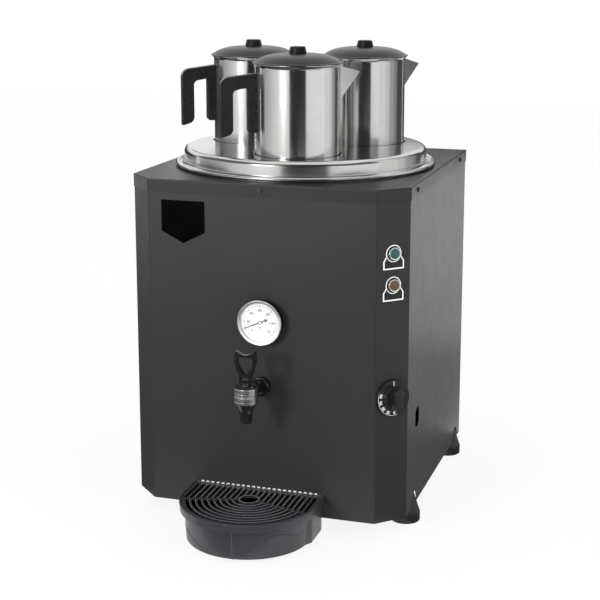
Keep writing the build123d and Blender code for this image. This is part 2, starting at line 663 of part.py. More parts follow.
def folded_beak(x, y, turn):
    """Pouring beak folded from sheet, open above, cut to lie on the pot's round wall."""
    slope = atan2(SPOUT_DROP, SPOUT_PROJECTION)
    out = Vector(cos(radians(turn)), sin(radians(turn)), 0)
    up = Vector(0, 0, 1)
    wall = Vector(x, y, SPOUT_TOP) + out * POT_RADIUS
    top = Plane(
        origin=wall,
        x_dir=out * cos(slope) - up * sin(slope),
        z_dir=out * sin(slope) + up * cos(slope),
    )
    foot = Plane(origin=wall - up * SPOUT_HEIGHT, x_dir=out, z_dir=up)
    tip = SPOUT_PROJECTION / cos(slope)
    outside = loft(
        [
            beak_section(top, -SPOUT_ROOT, SPOUT_HALF_WIDTH, tip),
            beak_section(foot, -2.0, 1.0, 0.8),
        ],
        ruled=True,
    )
    inside = loft(
        [
            beak_section(top.offset(1), -SPOUT_ROOT - 1, SPOUT_HALF_WIDTH - 1.0, tip - 2.4),
            beak_section(foot.offset(5), -2.4, 0.6, 0.4),
        ],
        ruled=True,
    )
    body = Plane(origin=(x, y, POT_BOTTOM)) * Cylinder(
        POT_RADIUS - POT_WALL / 2, POT_RIM - POT_BOTTOM + 10, align=BOTTOM_ALIGN
    )
    return outside - inside - body


for pot_index, (pot_name, pot_angle, beak_turn, handle_turn) in enumerate(POTS):
    pot_x, pot_y = pot_spots[pot_index]
    pot_axis = Axis((pot_x, pot_y, 0), (0, 0, 1))
    spout_plane = pot_axis_planes(pot_x, pot_y, beak_turn)
    handle_plane = pot_axis_planes(pot_x, pot_y, handle_turn)
    spout_out = spout_plane.x_dir
    beak = folded_beak(pot_x, pot_y, beak_turn)

    # Drawn steel body with a flared lip, and a folded beak welded over a row of strainer holes.
    with BuildPart() as pot_body:
        with BuildSketch(spout_plane):
            with BuildLine():
                p1 = Line((0, POT_BOTTOM), (POT_RADIUS - POT_CORNER, POT_BOTTOM))
                p2 = RadiusArc(p1 @ 1, (POT_RADIUS, POT_BOTTOM + POT_CORNER), -POT_CORNER)
                p3 = Polyline(
                    p2 @ 1,
                    (POT_RADIUS, POT_FLARE_START),
                    (POT_LIP_RADIUS, POT_RIM - 1),
                    (POT_LIP_RADIUS, POT_RIM),
                    (POT_LIP_RADIUS - POT_WALL, POT_RIM),
                    (POT_RADIUS - POT_WALL, POT_FLARE_START),
                    (POT_RADIUS - POT_WALL, POT_BOTTOM + POT_CORNER),
                )
                p4 = RadiusArc(
                    p3 @ 1, (POT_RADIUS - POT_CORNER, POT_BOTTOM + POT_WALL), POT_CORNER - POT_WALL
                )
                Polyline(p4 @ 1, (0, POT_BOTTOM + POT_WALL), (0, POT_BOTTOM))
            make_face()
        revolve(axis=pot_axis)
        add(beak)
        with BuildSketch(Plane(origin=spout_plane.origin, x_dir=spout_plane.z_dir, z_dir=spout_out)):
            with Locations((0, SPOUT_TOP - 20)):
                with GridLocations(7, 7, 3, 2):
                    Circle(POT_HOLE_RADIUS)
        extrude(amount=POT_RADIUS + 1, mode=Mode.SUBTRACT)
    save(pot_body, f"{pot_name}_pot_body")

    # Moulded handle: an upside-down U whose inner leg is hollowed to lie on the body.
    with BuildPart() as pot_handle:
        with BuildSketch(handle_plane.offset(-HANDLE_THICK / 2)):
            with BuildLine():
                outer_leg = HANDLE_REACH - HANDLE_LEG
                bar_under = HANDLE_TOP - HANDLE_BAR
                FilletPolyline(
                    (POT_RADIUS - 6, HANDLE_TOP),
                    (HANDLE_REACH, HANDLE_TOP - HANDLE_SLOPE),
                    (HANDLE_REACH, HANDLE_OUTER_BOTTOM),
                    (outer_leg, HANDLE_OUTER_BOTTOM + 6),
                    (outer_leg, bar_under - HANDLE_SLOPE * 0.7),
                    (HANDLE_INNER_LEG, bar_under - HANDLE_SLOPE * 0.2),
                    (HANDLE_INNER_LEG, HANDLE_INNER_BOTTOM),
                    (POT_RADIUS - 6, HANDLE_INNER_BOTTOM),
                    radius=[12, 2, 8, 6, 3, 5],
                )
                Line((POT_RADIUS - 6, HANDLE_INNER_BOTTOM), (POT_RADIUS - 6, HANDLE_TOP))
            make_face()
        extrude(amount=HANDLE_THICK)
        chamfer(pot_handle.faces().filter_by(handle_plane).edges(), 1.6)
        with BuildSketch(Plane(origin=(pot_x, pot_y, HANDLE_OUTER_BOTTOM - 5))):
            Circle(POT_RADIUS)
        extrude(amount=POT_RIM - HANDLE_OUTER_BOTTOM, mode=Mode.SUBTRACT)
    save(pot_handle, f"{pot_name}_pot_handle")

    # Domed lid of one sheet with a flat brim, and a plug ring welded inside to centre it.
    with BuildPart() as pot_lid:
        with BuildSketch(spout_plane):
            with BuildLine():
                dome_arcs(DOME_OUTSIDE, POT_LID_TOP)
                Polyline(
                    (DOME_OUTSIDE[-1][0], POT_LID_TOP - DOME_OUTSIDE[-1][1]),
                    (POT_LID_RADIUS, POT_RIM + 1.2),
                    (POT_LID_RADIUS, POT_RIM),
                    (0, POT_RIM),
                    (0, POT_LID_TOP),
                )
            make_face()
            with BuildLine():
                dome_arcs(DOME_INSIDE, POT_LID_TOP - POT_LID_SHEET)
                Polyline(
                    (DOME_INSIDE[-1][0], POT_LID_TOP - DOME_INSIDE[-1][1]),
                    (POT_LID_BRIM, POT_RIM),
                    (0, POT_RIM),
                    (0, POT_LID_TOP - POT_LID_SHEET),
                )
            make_face(mode=Mode.SUBTRACT)
            Polygon(
                (POT_LID_PLUG_RADIUS - 1, POT_RIM - POT_LID_PLUG),
                (POT_LID_PLUG_RADIUS, POT_RIM - POT_LID_PLUG),
                (POT_LID_PLUG_RADIUS, POT_LID_TOP - 10.3),
                (POT_LID_PLUG_RADIUS - 1, POT_LID_TOP - 9.8),
                align=None,
            )
        revolve(axis=pot_axis)
    save(pot_lid, f"{pot_name}_pot_lid")

    with BuildPart() as pot_knob:
        with BuildSketch(spout_plane):
            with BuildLine():
                knob_top = POT_LID_TOP + POT_KNOB
                Polyline(
                    (0, POT_LID_TOP),
                    (KNOB_BASE_RADIUS, POT_LID_TOP),
                    (KNOB_BASE_RADIUS, POT_LID_TOP + 1.5),
                    (KNOB_TOP_RADIUS, knob_top - 1.0),
                    (KNOB_TOP_RADIUS - 1.0, knob_top),
                    (0, knob_top),
                    close=True,
                )
            make_face()
        revolve(axis=pot_axis)
    save(pot_knob, f"{pot_name}_pot_knob")

# ---------------------------------------------------------------- thermometer

GAUGE_CASE_RADIUS = 32.5
GAUGE_GAP = 2.0
GAUGE_BEZEL = 6.0
GLASS_RADIUS = 31.8
GLASS_THICK = 1.4
DIAL_OUT = 12.0
DIAL_THICK = 0.8
NEEDLE_OUT = 13.5
NEEDLE_THICK = 0.5
NEEDLE_LENGTH = 27.0
NEEDLE_TURN = 203.5
SPINDLE_FIT = 0.05
NEEDLE_PIN_RADIUS = 0.8
NEEDLE_OUTLINE = [
    (NEEDLE_LENGTH, 0.15), (0, 1.0), (-4, 0.6), (-9, 2.2), (-14, 0.3),
    (-14, -0.3), (-9, -2.2), (-4, -0.6), (0, -1.0), (NEEDLE_LENGTH, -0.15),
]


def ring_on_front(inner, outer, low, high):
    """Ring in the open sketch of a front-parallel profile, from one stand-off to another."""
    Polygon((inner, low), (outer, low), (outer, high), (inner, high), align=None)


# Profile plane of everything turned about the thermometer's axis: X radial, Y out of the panel.
gauge_profile = Plane(origin=(GAUGE_X, FRONT_Y, GAUGE_HEIGHT), x_dir=(1, 0, 0), z_dir=(0, 0, -1))
gauge_axis = Axis((GAUGE_X, FRONT_Y, GAUGE_HEIGHT), (0, -1, 0))

with BuildPart() as gauge_case:
    with BuildSketch(gauge_profile):
        ring_on_front(STEM_RADIUS, GAUGE_CASE_RADIUS, GAUGE_GAP, GAUGE_GAP + 1)
        ring_on_front(GAUGE_CASE_RADIUS - 1, GAUGE_CASE_RADIUS, GAUGE_GAP, GAUGE_DEPTH - 3.4)
        ring_on_front(NEEDLE_PIN_RADIUS + SPINDLE_FIT, STEM_RADIUS, GAUGE_GAP + 1, DIAL_OUT)
        ring_on_front(STEM_RADIUS - 2, STEM_RADIUS + 2, GAUGE_GAP + 1, GAUGE_GAP + 2)
    revolve(axis=gauge_axis)
save(gauge_case, "gauge_case")

with BuildPart() as gauge_bezel:
    with BuildSketch(gauge_profile):
        ring_on_front(GAUGE_CASE_RADIUS, GAUGE_RADIUS, GAUGE_DEPTH - GAUGE_BEZEL - 3, GAUGE_DEPTH)
        ring_on_front(GLASS_RADIUS - 1.4, GAUGE_CASE_RADIUS, GAUGE_DEPTH - 2, GAUGE_DEPTH)
    revolve(axis=gauge_axis)
    chamfer(gauge_bezel.edges().filter_by(GeomType.CIRCLE).group_by(Axis.Y)[0], 0.6)
save(gauge_bezel, "gauge_bezel")

with BuildPart() as gauge_glass:
    with BuildSketch(front_plane_at(GAUGE_X, GAUGE_HEIGHT, GAUGE_DEPTH - 2 - GLASS_THICK)):
        Circle(GLASS_RADIUS)
    extrude(amount=GLASS_THICK)
save(gauge_glass, "gauge_glass")

with BuildPart() as gauge_dial:
    with BuildSketch(front_plane_at(GAUGE_X, GAUGE_HEIGHT, DIAL_OUT)):
        Circle(GAUGE_CASE_RADIUS - 1)
        Circle(NEEDLE_PIN_RADIUS + 0.6, mode=Mode.SUBTRACT)
    extrude(amount=DIAL_THICK)
save(gauge_dial, "gauge_dial")

with BuildPart() as gauge_needle:
    with BuildSketch(front_plane_at(GAUGE_X, GAUGE_HEIGHT, NEEDLE_OUT)):
        Polygon(
            *[
                (
                    x * cos(radians(NEEDLE_TURN)) - y * sin(radians(NEEDLE_TURN)),
                    x * sin(radians(NEEDLE_TURN)) + y * cos(radians(NEEDLE_TURN)),
                )
                for x, y in NEEDLE_OUTLINE
            ],
            align=None,
        )
        Circle(3.0)
    extrude(amount=NEEDLE_THICK)
    with BuildSketch(front_plane_at(GAUGE_X, GAUGE_HEIGHT, NEEDLE_OUT)):
        Circle(NEEDLE_PIN_RADIUS)
    extrude(amount=-(NEEDLE_OUT - GAUGE_GAP - 2))
save(gauge_needle, "gauge_needle")

STEM_REACH = 88.0
with BuildPart() as gauge_stem:
    with BuildSketch(front_plane_at(GAUGE_X, GAUGE_HEIGHT, GAUGE_GAP + 1)):
        Circle(STEM_RADIUS)
        Circle(NEEDLE_PIN_RADIUS + 0.4, mode=Mode.SUBTRACT)
    extrude(amount=-GAUGE_GAP - 1 - STEM_REACH)
    with BuildSketch(front_plane_at(GAUGE_X, GAUGE_HEIGHT, GAUGE_GAP)):
        RegularPolygon(11, 6)
    extrude(amount=-GAUGE_GAP)
save(gauge_stem, "gauge_stem")

# ---------------------------------------------------------------- tap

tap_axis = Axis((0, TAP_Y, 0), (0, 0, 1))
tap_profile = Plane(origin=(0, TAP_Y, 0), x_dir=(1, 0, 0), z_dir=(0, -1, 0))
SPOUT_TIP = 191.0
SPOUT_RADIUS = 8.75
SPOUT_BORE = 5.8
COLLAR_BOTTOM = 222.0
COLLAR_TOP = 246.0
COLLAR_RADIUS = 17.8
CHAMBER_RADIUS = 10.0
SEAT_HEIGHT = 222.0
BONNET_TOP = 250.0
BRACKET_TOP = 259.0
BRACKET_HALF = 6.0
BRACKET_DEPTH = 8.0
LEVER_FOOT = 3.0
PIVOT_HEIGHT = 255.0
PIVOT_RADIUS = 2.0
LOOP_TOP = 301.6
LOOP_HALF = 16.5
LOOP_BAR = 4.6
LOOP_THICK = 7.0
STEM_ROD = 3.0
VALVE_LIFT = 4.0
WATER_BORE = 4.5
SHANK_END = 52.0

with BuildPart() as tap_body:
    with BuildSketch(tap_profile):
        with BuildLine():
            t1 = Polyline(
                (SPOUT_BORE, SPOUT_TIP), (SPOUT_RADIUS, SPOUT_TIP), (SPOUT_RADIUS + 0.4, SPOUT_TIP + 8)
            )
            t2 = ThreePointArc(
                t1 @ 1, (COLLAR_RADIUS - 5.6, COLLAR_BOTTOM - 11), (COLLAR_RADIUS - 1.2, COLLAR_BOTTOM)
            )
            Polyline(
                t2 @ 1,
                (COLLAR_RADIUS, COLLAR_BOTTOM),
                (COLLAR_RADIUS, COLLAR_BOTTOM + 10.8),
                (COLLAR_RADIUS - 1.4, COLLAR_BOTTOM + 11.4),
                (COLLAR_RADIUS - 1.4, COLLAR_BOTTOM + 12.6),
                (COLLAR_RADIUS, COLLAR_BOTTOM + 13.2),
                (COLLAR_RADIUS, COLLAR_TOP),
                (CHAMBER_RADIUS, COLLAR_TOP),
                (CHAMBER_RADIUS, SEAT_HEIGHT),
                (SPOUT_BORE, SEAT_HEIGHT),
                (SPOUT_BORE, SPOUT_TIP),
            )
        make_face()
    revolve(axis=tap_axis)
    with BuildSketch(front_plane_at(0, TAP_HEIGHT, TAP_REACH - CHAMBER_RADIUS - 2)):
        Circle(SHANK_RADIUS)
    extrude(amount=-(TAP_REACH - CHAMBER_RADIUS - 2) - SHANK_END)
    with BuildSketch(front_plane_at(0, TAP_HEIGHT, TAP_REACH - CHAMBER_RADIUS - 3)):
        Circle(11.5)
    extrude(amount=-26, taper=6)
    with BuildSketch(front_plane_at(0, TAP_HEIGHT + 2, TAP_REACH)):
        Circle(WATER_BORE)
    extrude(amount=-TAP_REACH - SHANK_END, mode=Mode.SUBTRACT)
save(tap_body, "tap_body")

with BuildPart() as tap_bonnet:
    with BuildSketch(tap_profile):
        Polygon(
            (STEM_ROD + 0.3, COLLAR_TOP - 4),
            (CHAMBER_RADIUS, COLLAR_TOP - 4),
            (CHAMBER_RADIUS, COLLAR_TOP),
            (COLLAR_RADIUS - 1.0, COLLAR_TOP),
            (COLLAR_RADIUS - 1.0, COLLAR_TOP + 2.4),
            (COLLAR_RADIUS - 5.0, BONNET_TOP),
            (STEM_ROD + 0.3, BONNET_TOP),
            align=None,
        )
    revolve(axis=tap_axis)
    with BuildSketch(Plane.XY.offset(BONNET_TOP)):
        with Locations((0, TAP_Y)):
            RectangleRounded(2 * BRACKET_HALF, BRACKET_DEPTH, 1.5)
            Circle(STEM_ROD + 0.3, mode=Mode.SUBTRACT)
    extrude(amount=PIVOT_HEIGHT - PIVOT_RADIUS - 0.6 - BONNET_TOP)
    with BuildSketch(Plane.XY.offset(PIVOT_HEIGHT - PIVOT_RADIUS - 0.6)):
        with Locations((0, TAP_Y)):
            RectangleRounded(2 * BRACKET_HALF, BRACKET_DEPTH, 1.5)
    extrude(amount=BRACKET_TOP - PIVOT_HEIGHT + PIVOT_RADIUS + 0.6)
    with BuildSketch(Plane(origin=(0, TAP_Y, PIVOT_HEIGHT), z_dir=(1, 0, 0))):
        Circle(PIVOT_RADIUS)
    extrude(amount=2 * BRACKET_HALF, both=True, mode=Mode.SUBTRACT)
save(tap_bonnet, "tap_bonnet")

# The lever turns on this pin; its cheeks have a running fit, the bracket holds it tight.
CHEEK_IN = BRACKET_HALF + 0.3
CHEEK_OUT = 9.6
with BuildPart() as lever_pin:
    with BuildSketch(Plane(origin=(-CHEEK_OUT - 0.6, TAP_Y, PIVOT_HEIGHT), z_dir=(1, 0, 0))):
        Circle(PIVOT_RADIUS)
    extrude(amount=2 * CHEEK_OUT + 1.2)
save(lever_pin, "lever_pin")

# Lyre-shaped lever: two curved arms joined at the hub, with a dished finger rest between horns.
with BuildPart() as tap_lever:
    with BuildSketch(tap_profile.offset(-LOOP_THICK / 2)):
        with BuildLine():
            a1 = Line((-CHEEK_OUT, PIVOT_HEIGHT - LEVER_FOOT), (-CHEEK_OUT, PIVOT_HEIGHT + 9))
            a2 = Spline(
                a1 @ 1,
                (-LOOP_HALF + 1.6, PIVOT_HEIGHT + 22),
                (-LOOP_HALF, PIVOT_HEIGHT + 33),
                (-LOOP_HALF + 1.8, LOOP_TOP),
            )
            a3 = ThreePointArc(
                a2 @ 1, (0, LOOP_TOP - 6.2), (LOOP_HALF - 1.8, LOOP_TOP)
            )
            a4 = Spline(
                a3 @ 1,
                (LOOP_HALF, PIVOT_HEIGHT + 33),
                (LOOP_HALF - 1.6, PIVOT_HEIGHT + 22),
                (CHEEK_OUT, PIVOT_HEIGHT + 9),
            )
            Polyline(
                a4 @ 1,
                (CHEEK_OUT, PIVOT_HEIGHT - LEVER_FOOT),
                (-CHEEK_OUT, PIVOT_HEIGHT - LEVER_FOOT),
            )
        make_face()
        with BuildLine():
            b1 = Spline(
                (-2.2, PIVOT_HEIGHT + 11),
                (-LOOP_HALF + LOOP_BAR + 1.6, PIVOT_HEIGHT + 23),
                (-LOOP_HALF + LOOP_BAR, PIVOT_HEIGHT + 33),
                (-LOOP_HALF + LOOP_BAR + 1.2, LOOP_TOP - 10),
            )
            b2 = Line(b1 @ 1, (LOOP_HALF - LOOP_BAR - 1.2, LOOP_TOP - 10))
            b3 = Spline(
                b2 @ 1,
                (LOOP_HALF - LOOP_BAR, PIVOT_HEIGHT + 33),
                (LOOP_HALF - LOOP_BAR - 1.6, PIVOT_HEIGHT + 23),
                (2.2, PIVOT_HEIGHT + 11),
            )
            Line(b3 @ 1, b1 @ 0)
        make_face(mode=Mode.SUBTRACT)
    extrude(amount=LOOP_THICK)
    with BuildSketch(Plane(origin=(0, TAP_Y, PIVOT_HEIGHT), z_dir=(1, 0, 0))):
        Circle(PIVOT_RADIUS + 0.05)
    extrude(amount=CHEEK_OUT + 1, both=True, mode=Mode.SUBTRACT)
    with Locations((0, TAP_Y, PIVOT_HEIGHT - 1.5)):
        Box(2 * CHEEK_IN, 40, 16.6, mode=Mode.SUBTRACT)
save(tap_lever, "tap_lever")

VALVE_RADIUS = 8.0
VALVE_HEIGHT = 5.0
STEM_TOP = PIVOT_HEIGHT - PIVOT_RADIUS - 0.6 - VALVE_LIFT - 0.8
with BuildPart() as valve_stem:
    with Locations((0, TAP_Y, SEAT_HEIGHT + VALVE_HEIGHT)):
        Cylinder(STEM_ROD, STEM_TOP - SEAT_HEIGHT - VALVE_HEIGHT, align=BOTTOM_ALIGN)
save(valve_stem, "valve_stem")

with BuildPart() as valve_cup:
    with Locations((0, TAP_Y, SEAT_HEIGHT)):
        Cylinder(VALVE_RADIUS, VALVE_HEIGHT, align=BOTTOM_ALIGN)
    chamfer(valve_cup.edges().group_by(Axis.Z)[-1], 1.2)
save(valve_cup, "valve_cup")

SPRING_RADIUS = 5.6
SPRING_WIRE = 0.5
SPRING_BOTTOM = SEAT_HEIGHT + VALVE_HEIGHT + SPRING_WIRE
SPRING_TOP = COLLAR_TOP - 4 - SPRING_WIRE
with BuildPart() as valve_spring:
    with BuildLine():
        spring_path = Helix(
            pitch=2.6, height=SPRING_TOP - SPRING_BOTTOM, radius=SPRING_RADIUS,
            center=(0, TAP_Y, SPRING_BOTTOM),
        )
    with BuildSketch(Plane(origin=spring_path @ 0, z_dir=spring_path % 0)):
        Circle(SPRING_WIRE)
    sweep()
save(valve_spring, "valve_spring")

PANEL_NUT = 10.0
with BuildPart() as tap_nut:
    with BuildSketch(front_plane_at(0, TAP_HEIGHT)):
        Circle(15.5)
        Circle(SHANK_RADIUS, mode=Mode.SUBTRACT)
    extrude(amount=PANEL_NUT)
    fillet(tap_nut.edges().filter_by(GeomType.CIRCLE).group_by(Axis.Y)[0][0], 2)
save(tap_nut, "tap_nut")

inner_nut_start = BOSS_FRONT + BOSS_LENGTH - FRONT_Y
with BuildPart() as tap_washer:
    with BuildSketch(front_plane_at(0, TAP_HEIGHT, -inner_nut_start)):
        Circle(13)
        Circle(SHANK_RADIUS, mode=Mode.SUBTRACT)
    extrude(amount=-2)
save(tap_washer, "tap_washer")

with BuildPart() as tap_back_nut:
    with BuildSketch(front_plane_at(0, TAP_HEIGHT, -inner_nut_start - 2)):
        RegularPolygon(14, 6)
        Circle(SHANK_RADIUS, mode=Mode.SUBTRACT)
    extrude(amount=-7)
save(tap_back_nut, "tap_back_nut")

# ---------------------------------------------------------------- corner controls

LABEL_HALF = 17.5
LABEL_DROP = 23.5
LABEL_SHOULDER = 11.0
LABEL_RING = 13.0
LABEL_THICK = 0.6
LAMP_BEZEL_RADIUS = 10.8
LENS_RADIUS = 7.3
LAMP_OUT = 5.0
LAMP_BARREL = 24.0

with BuildPart() as lamp_labels:
    for height in LAMP_HEIGHTS:
        with BuildSketch(corner_plane_at(height)):
            Circle(LABEL_RING)
            Polygon(
                (-LABEL_HALF, -LABEL_DROP),
                (LABEL_HALF, -LABEL_DROP),
                (LABEL_HALF, -LABEL_SHOULDER),
                (LABEL_RING - 0.6, -3),
                (-LABEL_RING + 0.6, -3),
                (-LABEL_HALF, -LABEL_SHOULDER),
                align=None,
            )
            Circle(LAMP_BARREL_RADIUS, mode=Mode.SUBTRACT)
        extrude(amount=LABEL_THICK)
save(lamp_labels, "lamp_labels")

with BuildPart() as lamp_bezels:
    for height in LAMP_HEIGHTS:
        with BuildSketch(corner_plane_at(height).offset(LABEL_THICK)):
            Circle(LAMP_BEZEL_RADIUS)
            Circle(LENS_RADIUS, mode=Mode.SUBTRACT)
        extrude(amount=LAMP_OUT - LABEL_THICK)
    chamfer(lamp_bezels.edges().filter_by(GeomType.CIRCLE), 0.4)
save(lamp_bezels, "lamp_bezels")

with BuildPart() as lamp_bodies:
    for height in LAMP_HEIGHTS:
        with BuildSketch(corner_plane_at(height).offset(LABEL_THICK)):
            Circle(LAMP_BARREL_RADIUS)
        extrude(amount=-LABEL_THICK - LAMP_BARREL)
        with BuildSketch(corner_plane_at(height).offset(-SHEET)):
            RegularPolygon(9, 6)
        extrude(amount=-3)
        with BuildSketch(corner_plane_at(height).offset(-LAMP_BARREL)):
            with GridLocations(5, 1, 2, 1):
                Rectangle(0.8, 4)
        extrude(amount=-8)
save(lamp_bodies, "lamp_bodies")

LENS_OUT = 2.6
for lens_name, height in zip(("power_lens", "heating_lens"), LAMP_HEIGHTS):
    with BuildPart() as lens:
        with BuildSketch(corner_plane_at(height).offset(LABEL_THICK)):
            Circle(LENS_RADIUS)
        extrude(amount=LAMP_OUT - LABEL_THICK + LENS_OUT)
        lens_front = lens.faces().filter_by(CORNER_PLANE).sort_by(Axis((0, 0, 0), (1, -1, 0)))[-1]
        fillet(lens_front.edges(), 2.4)
    save(lens, lens_name)

# Thermostat: a capillary type behind the corner face, its turning spindle carrying the knob.
BUSH_OUT = 1.6
KNOB_GAP = 2.2
SKIRT_THICK = 4.0
GRIP_HEIGHT = 17.0
GRIP_BASE = 18.5
GRIP_BAR_HALF = 8.0
knob_plane = corner_plane_at(KNOB_HEIGHT)

with BuildPart() as thermostat_body:
    with BuildSketch(knob_plane.offset(-SHEET)):
        RectangleRounded(32, 42, 3)
        Circle(SPINDLE_RADIUS + SPINDLE_FIT, mode=Mode.SUBTRACT)
    extrude(amount=-30)
    with BuildSketch(knob_plane.offset(BUSH_OUT)):
        Circle(BUSH_RADIUS)
        Circle(SPINDLE_RADIUS + SPINDLE_FIT, mode=Mode.SUBTRACT)
    extrude(amount=-BUSH_OUT - SHEET)
    with BuildSketch(knob_plane.offset(-SHEET - 30)):
        with GridLocations(18, 1, 2, 1):
            Rectangle(6, 0.8)
    extrude(amount=-8)
save(thermostat_body, "thermostat_body")

with BuildPart() as thermostat_spindle:
    with BuildSketch(knob_plane.offset(KNOB_GAP + 12)):
        Circle(SPINDLE_RADIUS)
    extrude(amount=-KNOB_GAP - 12 - SHEET - 22)
save(thermostat_spindle, "thermostat_spindle")

with BuildPart() as thermostat_knob:
    with BuildSketch(knob_plane.offset(KNOB_GAP)):
        Circle(KNOB_RADIUS)
    extrude(amount=SKIRT_THICK, taper=12)
    with BuildSketch(knob_plane.offset(KNOB_GAP + SKIRT_THICK)):
        Circle(GRIP_BASE)
    extrude(amount=3, taper=20)
    grip_bottom = knob_plane.offset(KNOB_GAP + SKIRT_THICK)
    with BuildSketch(grip_bottom):
        SlotOverall(2 * GRIP_BASE, 2 * GRIP_BAR_HALF, rotation=90)
    extrude(amount=GRIP_HEIGHT, taper=7)
    with BuildSketch(knob_plane.offset(KNOB_GAP)):
        Circle(SPINDLE_RADIUS)
    extrude(amount=12, mode=Mode.SUBTRACT)
save(thermostat_knob, "thermostat_knob")

# Sensing bulb inside the tank, its gland on the wall and the capillary to the thermostat.
CAPILLARY_RADIUS = 1.0
BULB_LENGTH = 72.0
bulb_out = bulb_wall + bulb_direction * 14
body_back = knob_plane.origin - bulb_direction * (SHEET + 30)
with BuildPart() as thermostat_bulb:
    with BuildSketch(Plane(origin=bulb_out, z_dir=-bulb_direction)):
        Circle(BULB_RADIUS)
    extrude(amount=BULB_LENGTH)
    with BuildSketch(Plane(origin=bulb_wall + bulb_direction * 6, z_dir=bulb_direction)):
        RegularPolygon(6.5, 6)
    extrude(amount=6)
    with BuildLine() as capillary_line:
        FilletPolyline(
            bulb_out - bulb_direction,
            bulb_out + bulb_direction * 9,
            body_back - bulb_direction * 12 + Vector(0, 0, 6),
            body_back + Vector(0, 0, 6),
            radius=3,
        )
    with BuildSketch(Plane(origin=capillary_line.line @ 0, z_dir=capillary_line.line % 0)):
        Circle(CAPILLARY_RADIUS)
    sweep()
save(thermostat_bulb, "thermostat_bulb")

# ---------------------------------------------------------------- wiring and cable inlet

BLOCK_X = -150.0
BLOCK_Y = BACK_Y - 90.0
BLOCK_SIZE = (46.0, 22.0, 18.0)
block_base = FOOT_HEIGHT + SHEET

with BuildPart() as terminal_block:
    with Locations((BLOCK_X, BLOCK_Y, block_base)):
        Box(*BLOCK_SIZE, align=BOTTOM_ALIGN)
    with Locations((BLOCK_X, BLOCK_Y, block_base + BLOCK_SIZE[2])):
        with GridLocations(11, 1, 4, 1):
            Hole(2.6, depth=6)
    chamfer(terminal_block.edges().group_by(Axis.Z)[-1].filter_by(GeomType.LINE), 1.5)
save(terminal_block, "terminal_block")

with BuildPart() as cable_gland:
    with BuildSketch(Plane(origin=(GLAND_X, BACK_Y - SHEET - 12, GLAND_HEIGHT), z_dir=(0, 1, 0))):
        Circle(GLAND_THREAD_RADIUS)
    extrude(amount=12)
    with BuildSketch(Plane(origin=(GLAND_X, BACK_Y - SHEET, GLAND_HEIGHT), z_dir=(0, 1, 0))):
        RegularPolygon(14, 6)
    extrude(amount=6)
    with BuildSketch(Plane(origin=(GLAND_X, BACK_Y + 4, GLAND_HEIGHT), z_dir=(0, 1, 0))):
        Circle(12)
    extrude(amount=GLAND_REACH - 4, taper=8)
    with BuildSketch(Plane(origin=(GLAND_X, BACK_Y - SHEET - 12, GLAND_HEIGHT), z_dir=(0, 1, 0))):
        Circle(GLAND_BORE_RADIUS)
    extrude(amount=SHEET + 12 + GLAND_REACH, mode=Mode.SUBTRACT)
save(cable_gland, "cable_gland")

with BuildPart() as gland_nut:
    with BuildSketch(Plane(origin=(GLAND_X, BACK_Y - 2 * SHEET, GLAND_HEIGHT), z_dir=(0, -1, 0))):
        RegularPolygon(14, 6)
        Circle(GLAND_THREAD_RADIUS, mode=Mode.SUBTRACT)
    extrude(amount=5)
save(gland_nut, "gland_nut")

# ---------------------------------------------------------------- drip tray

TRAY_BAND = 13.0
TRAY_LIP = 5.0
TRAY_LIP_STEP = 1.0
TRAY_LEDGE = 4.5
TRAY_HEAD_RADIUS = 98.0
TRAY_FOOT_RADIUS = 96.0
TRAY_FLANK_HEAD = 102.0
TRAY_FLANK_FOOT = 101.0
TRAY_BACK = 0.3
TRAY_FLOOR = 3.0
GRILLE_THICK = 3.5
GRILLE_TOP = TRAY_TOP - 1.5
GRILLE_EDGE = 5.0
band_bottom = TRAY_TOP - TRAY_BAND
band_radius = TRAY_RADIUS - TRAY_LIP_STEP


def tray_outline(radius, back):
    """D-shaped plan: a half circle in front, straight flanks running back to the panel."""
    with Locations((TRAY_X, TRAY_Y)):
        Circle(radius)
        Rectangle(2 * radius, TRAY_CENTRE - back, align=(Align.CENTER, Align.MIN))
    with Locations((TRAY_X, FRONT_Y - back)):
        Rectangle(3 * radius, radius, align=(Align.CENTER, Align.MIN), mode=Mode.SUBTRACT)


def wall_outline(radius, flank, back):
    """Plan of the tray's wall: a round front whose flanks swell out to meet the panel."""
    with Locations((TRAY_X, TRAY_Y)):
        Circle(radius)
        Polygon(
            (-flank, TRAY_CENTRE - back), (flank, TRAY_CENTRE - back), (flank, -5),
            (0.9 * radius, -0.3 * radius), (-0.9 * radius, -0.3 * radius), (-flank, -5),
            align=None,
        )
    with Locations((TRAY_X, FRONT_Y - back)):
        Rectangle(3 * radius, radius, align=(Align.CENTER, Align.MIN), mode=Mode.SUBTRACT)


def tray_cup(inset, floor, mode):
    """Nearly upright body of the tray, set in by a wall, up to the band round its top."""
    back = TRAY_BACK + inset
    with BuildSketch(Plane.XY.offset(floor)) as foot:
        wall_outline(TRAY_FOOT_RADIUS - inset, TRAY_FLANK_FOOT - inset, back)
    with BuildSketch(Plane.XY.offset(band_bottom + inset)) as head:
        wall_outline(TRAY_HEAD_RADIUS - inset, TRAY_FLANK_HEAD - inset, back)
    loft(sections=[foot.sketch, head.sketch], ruled=True, mode=mode)


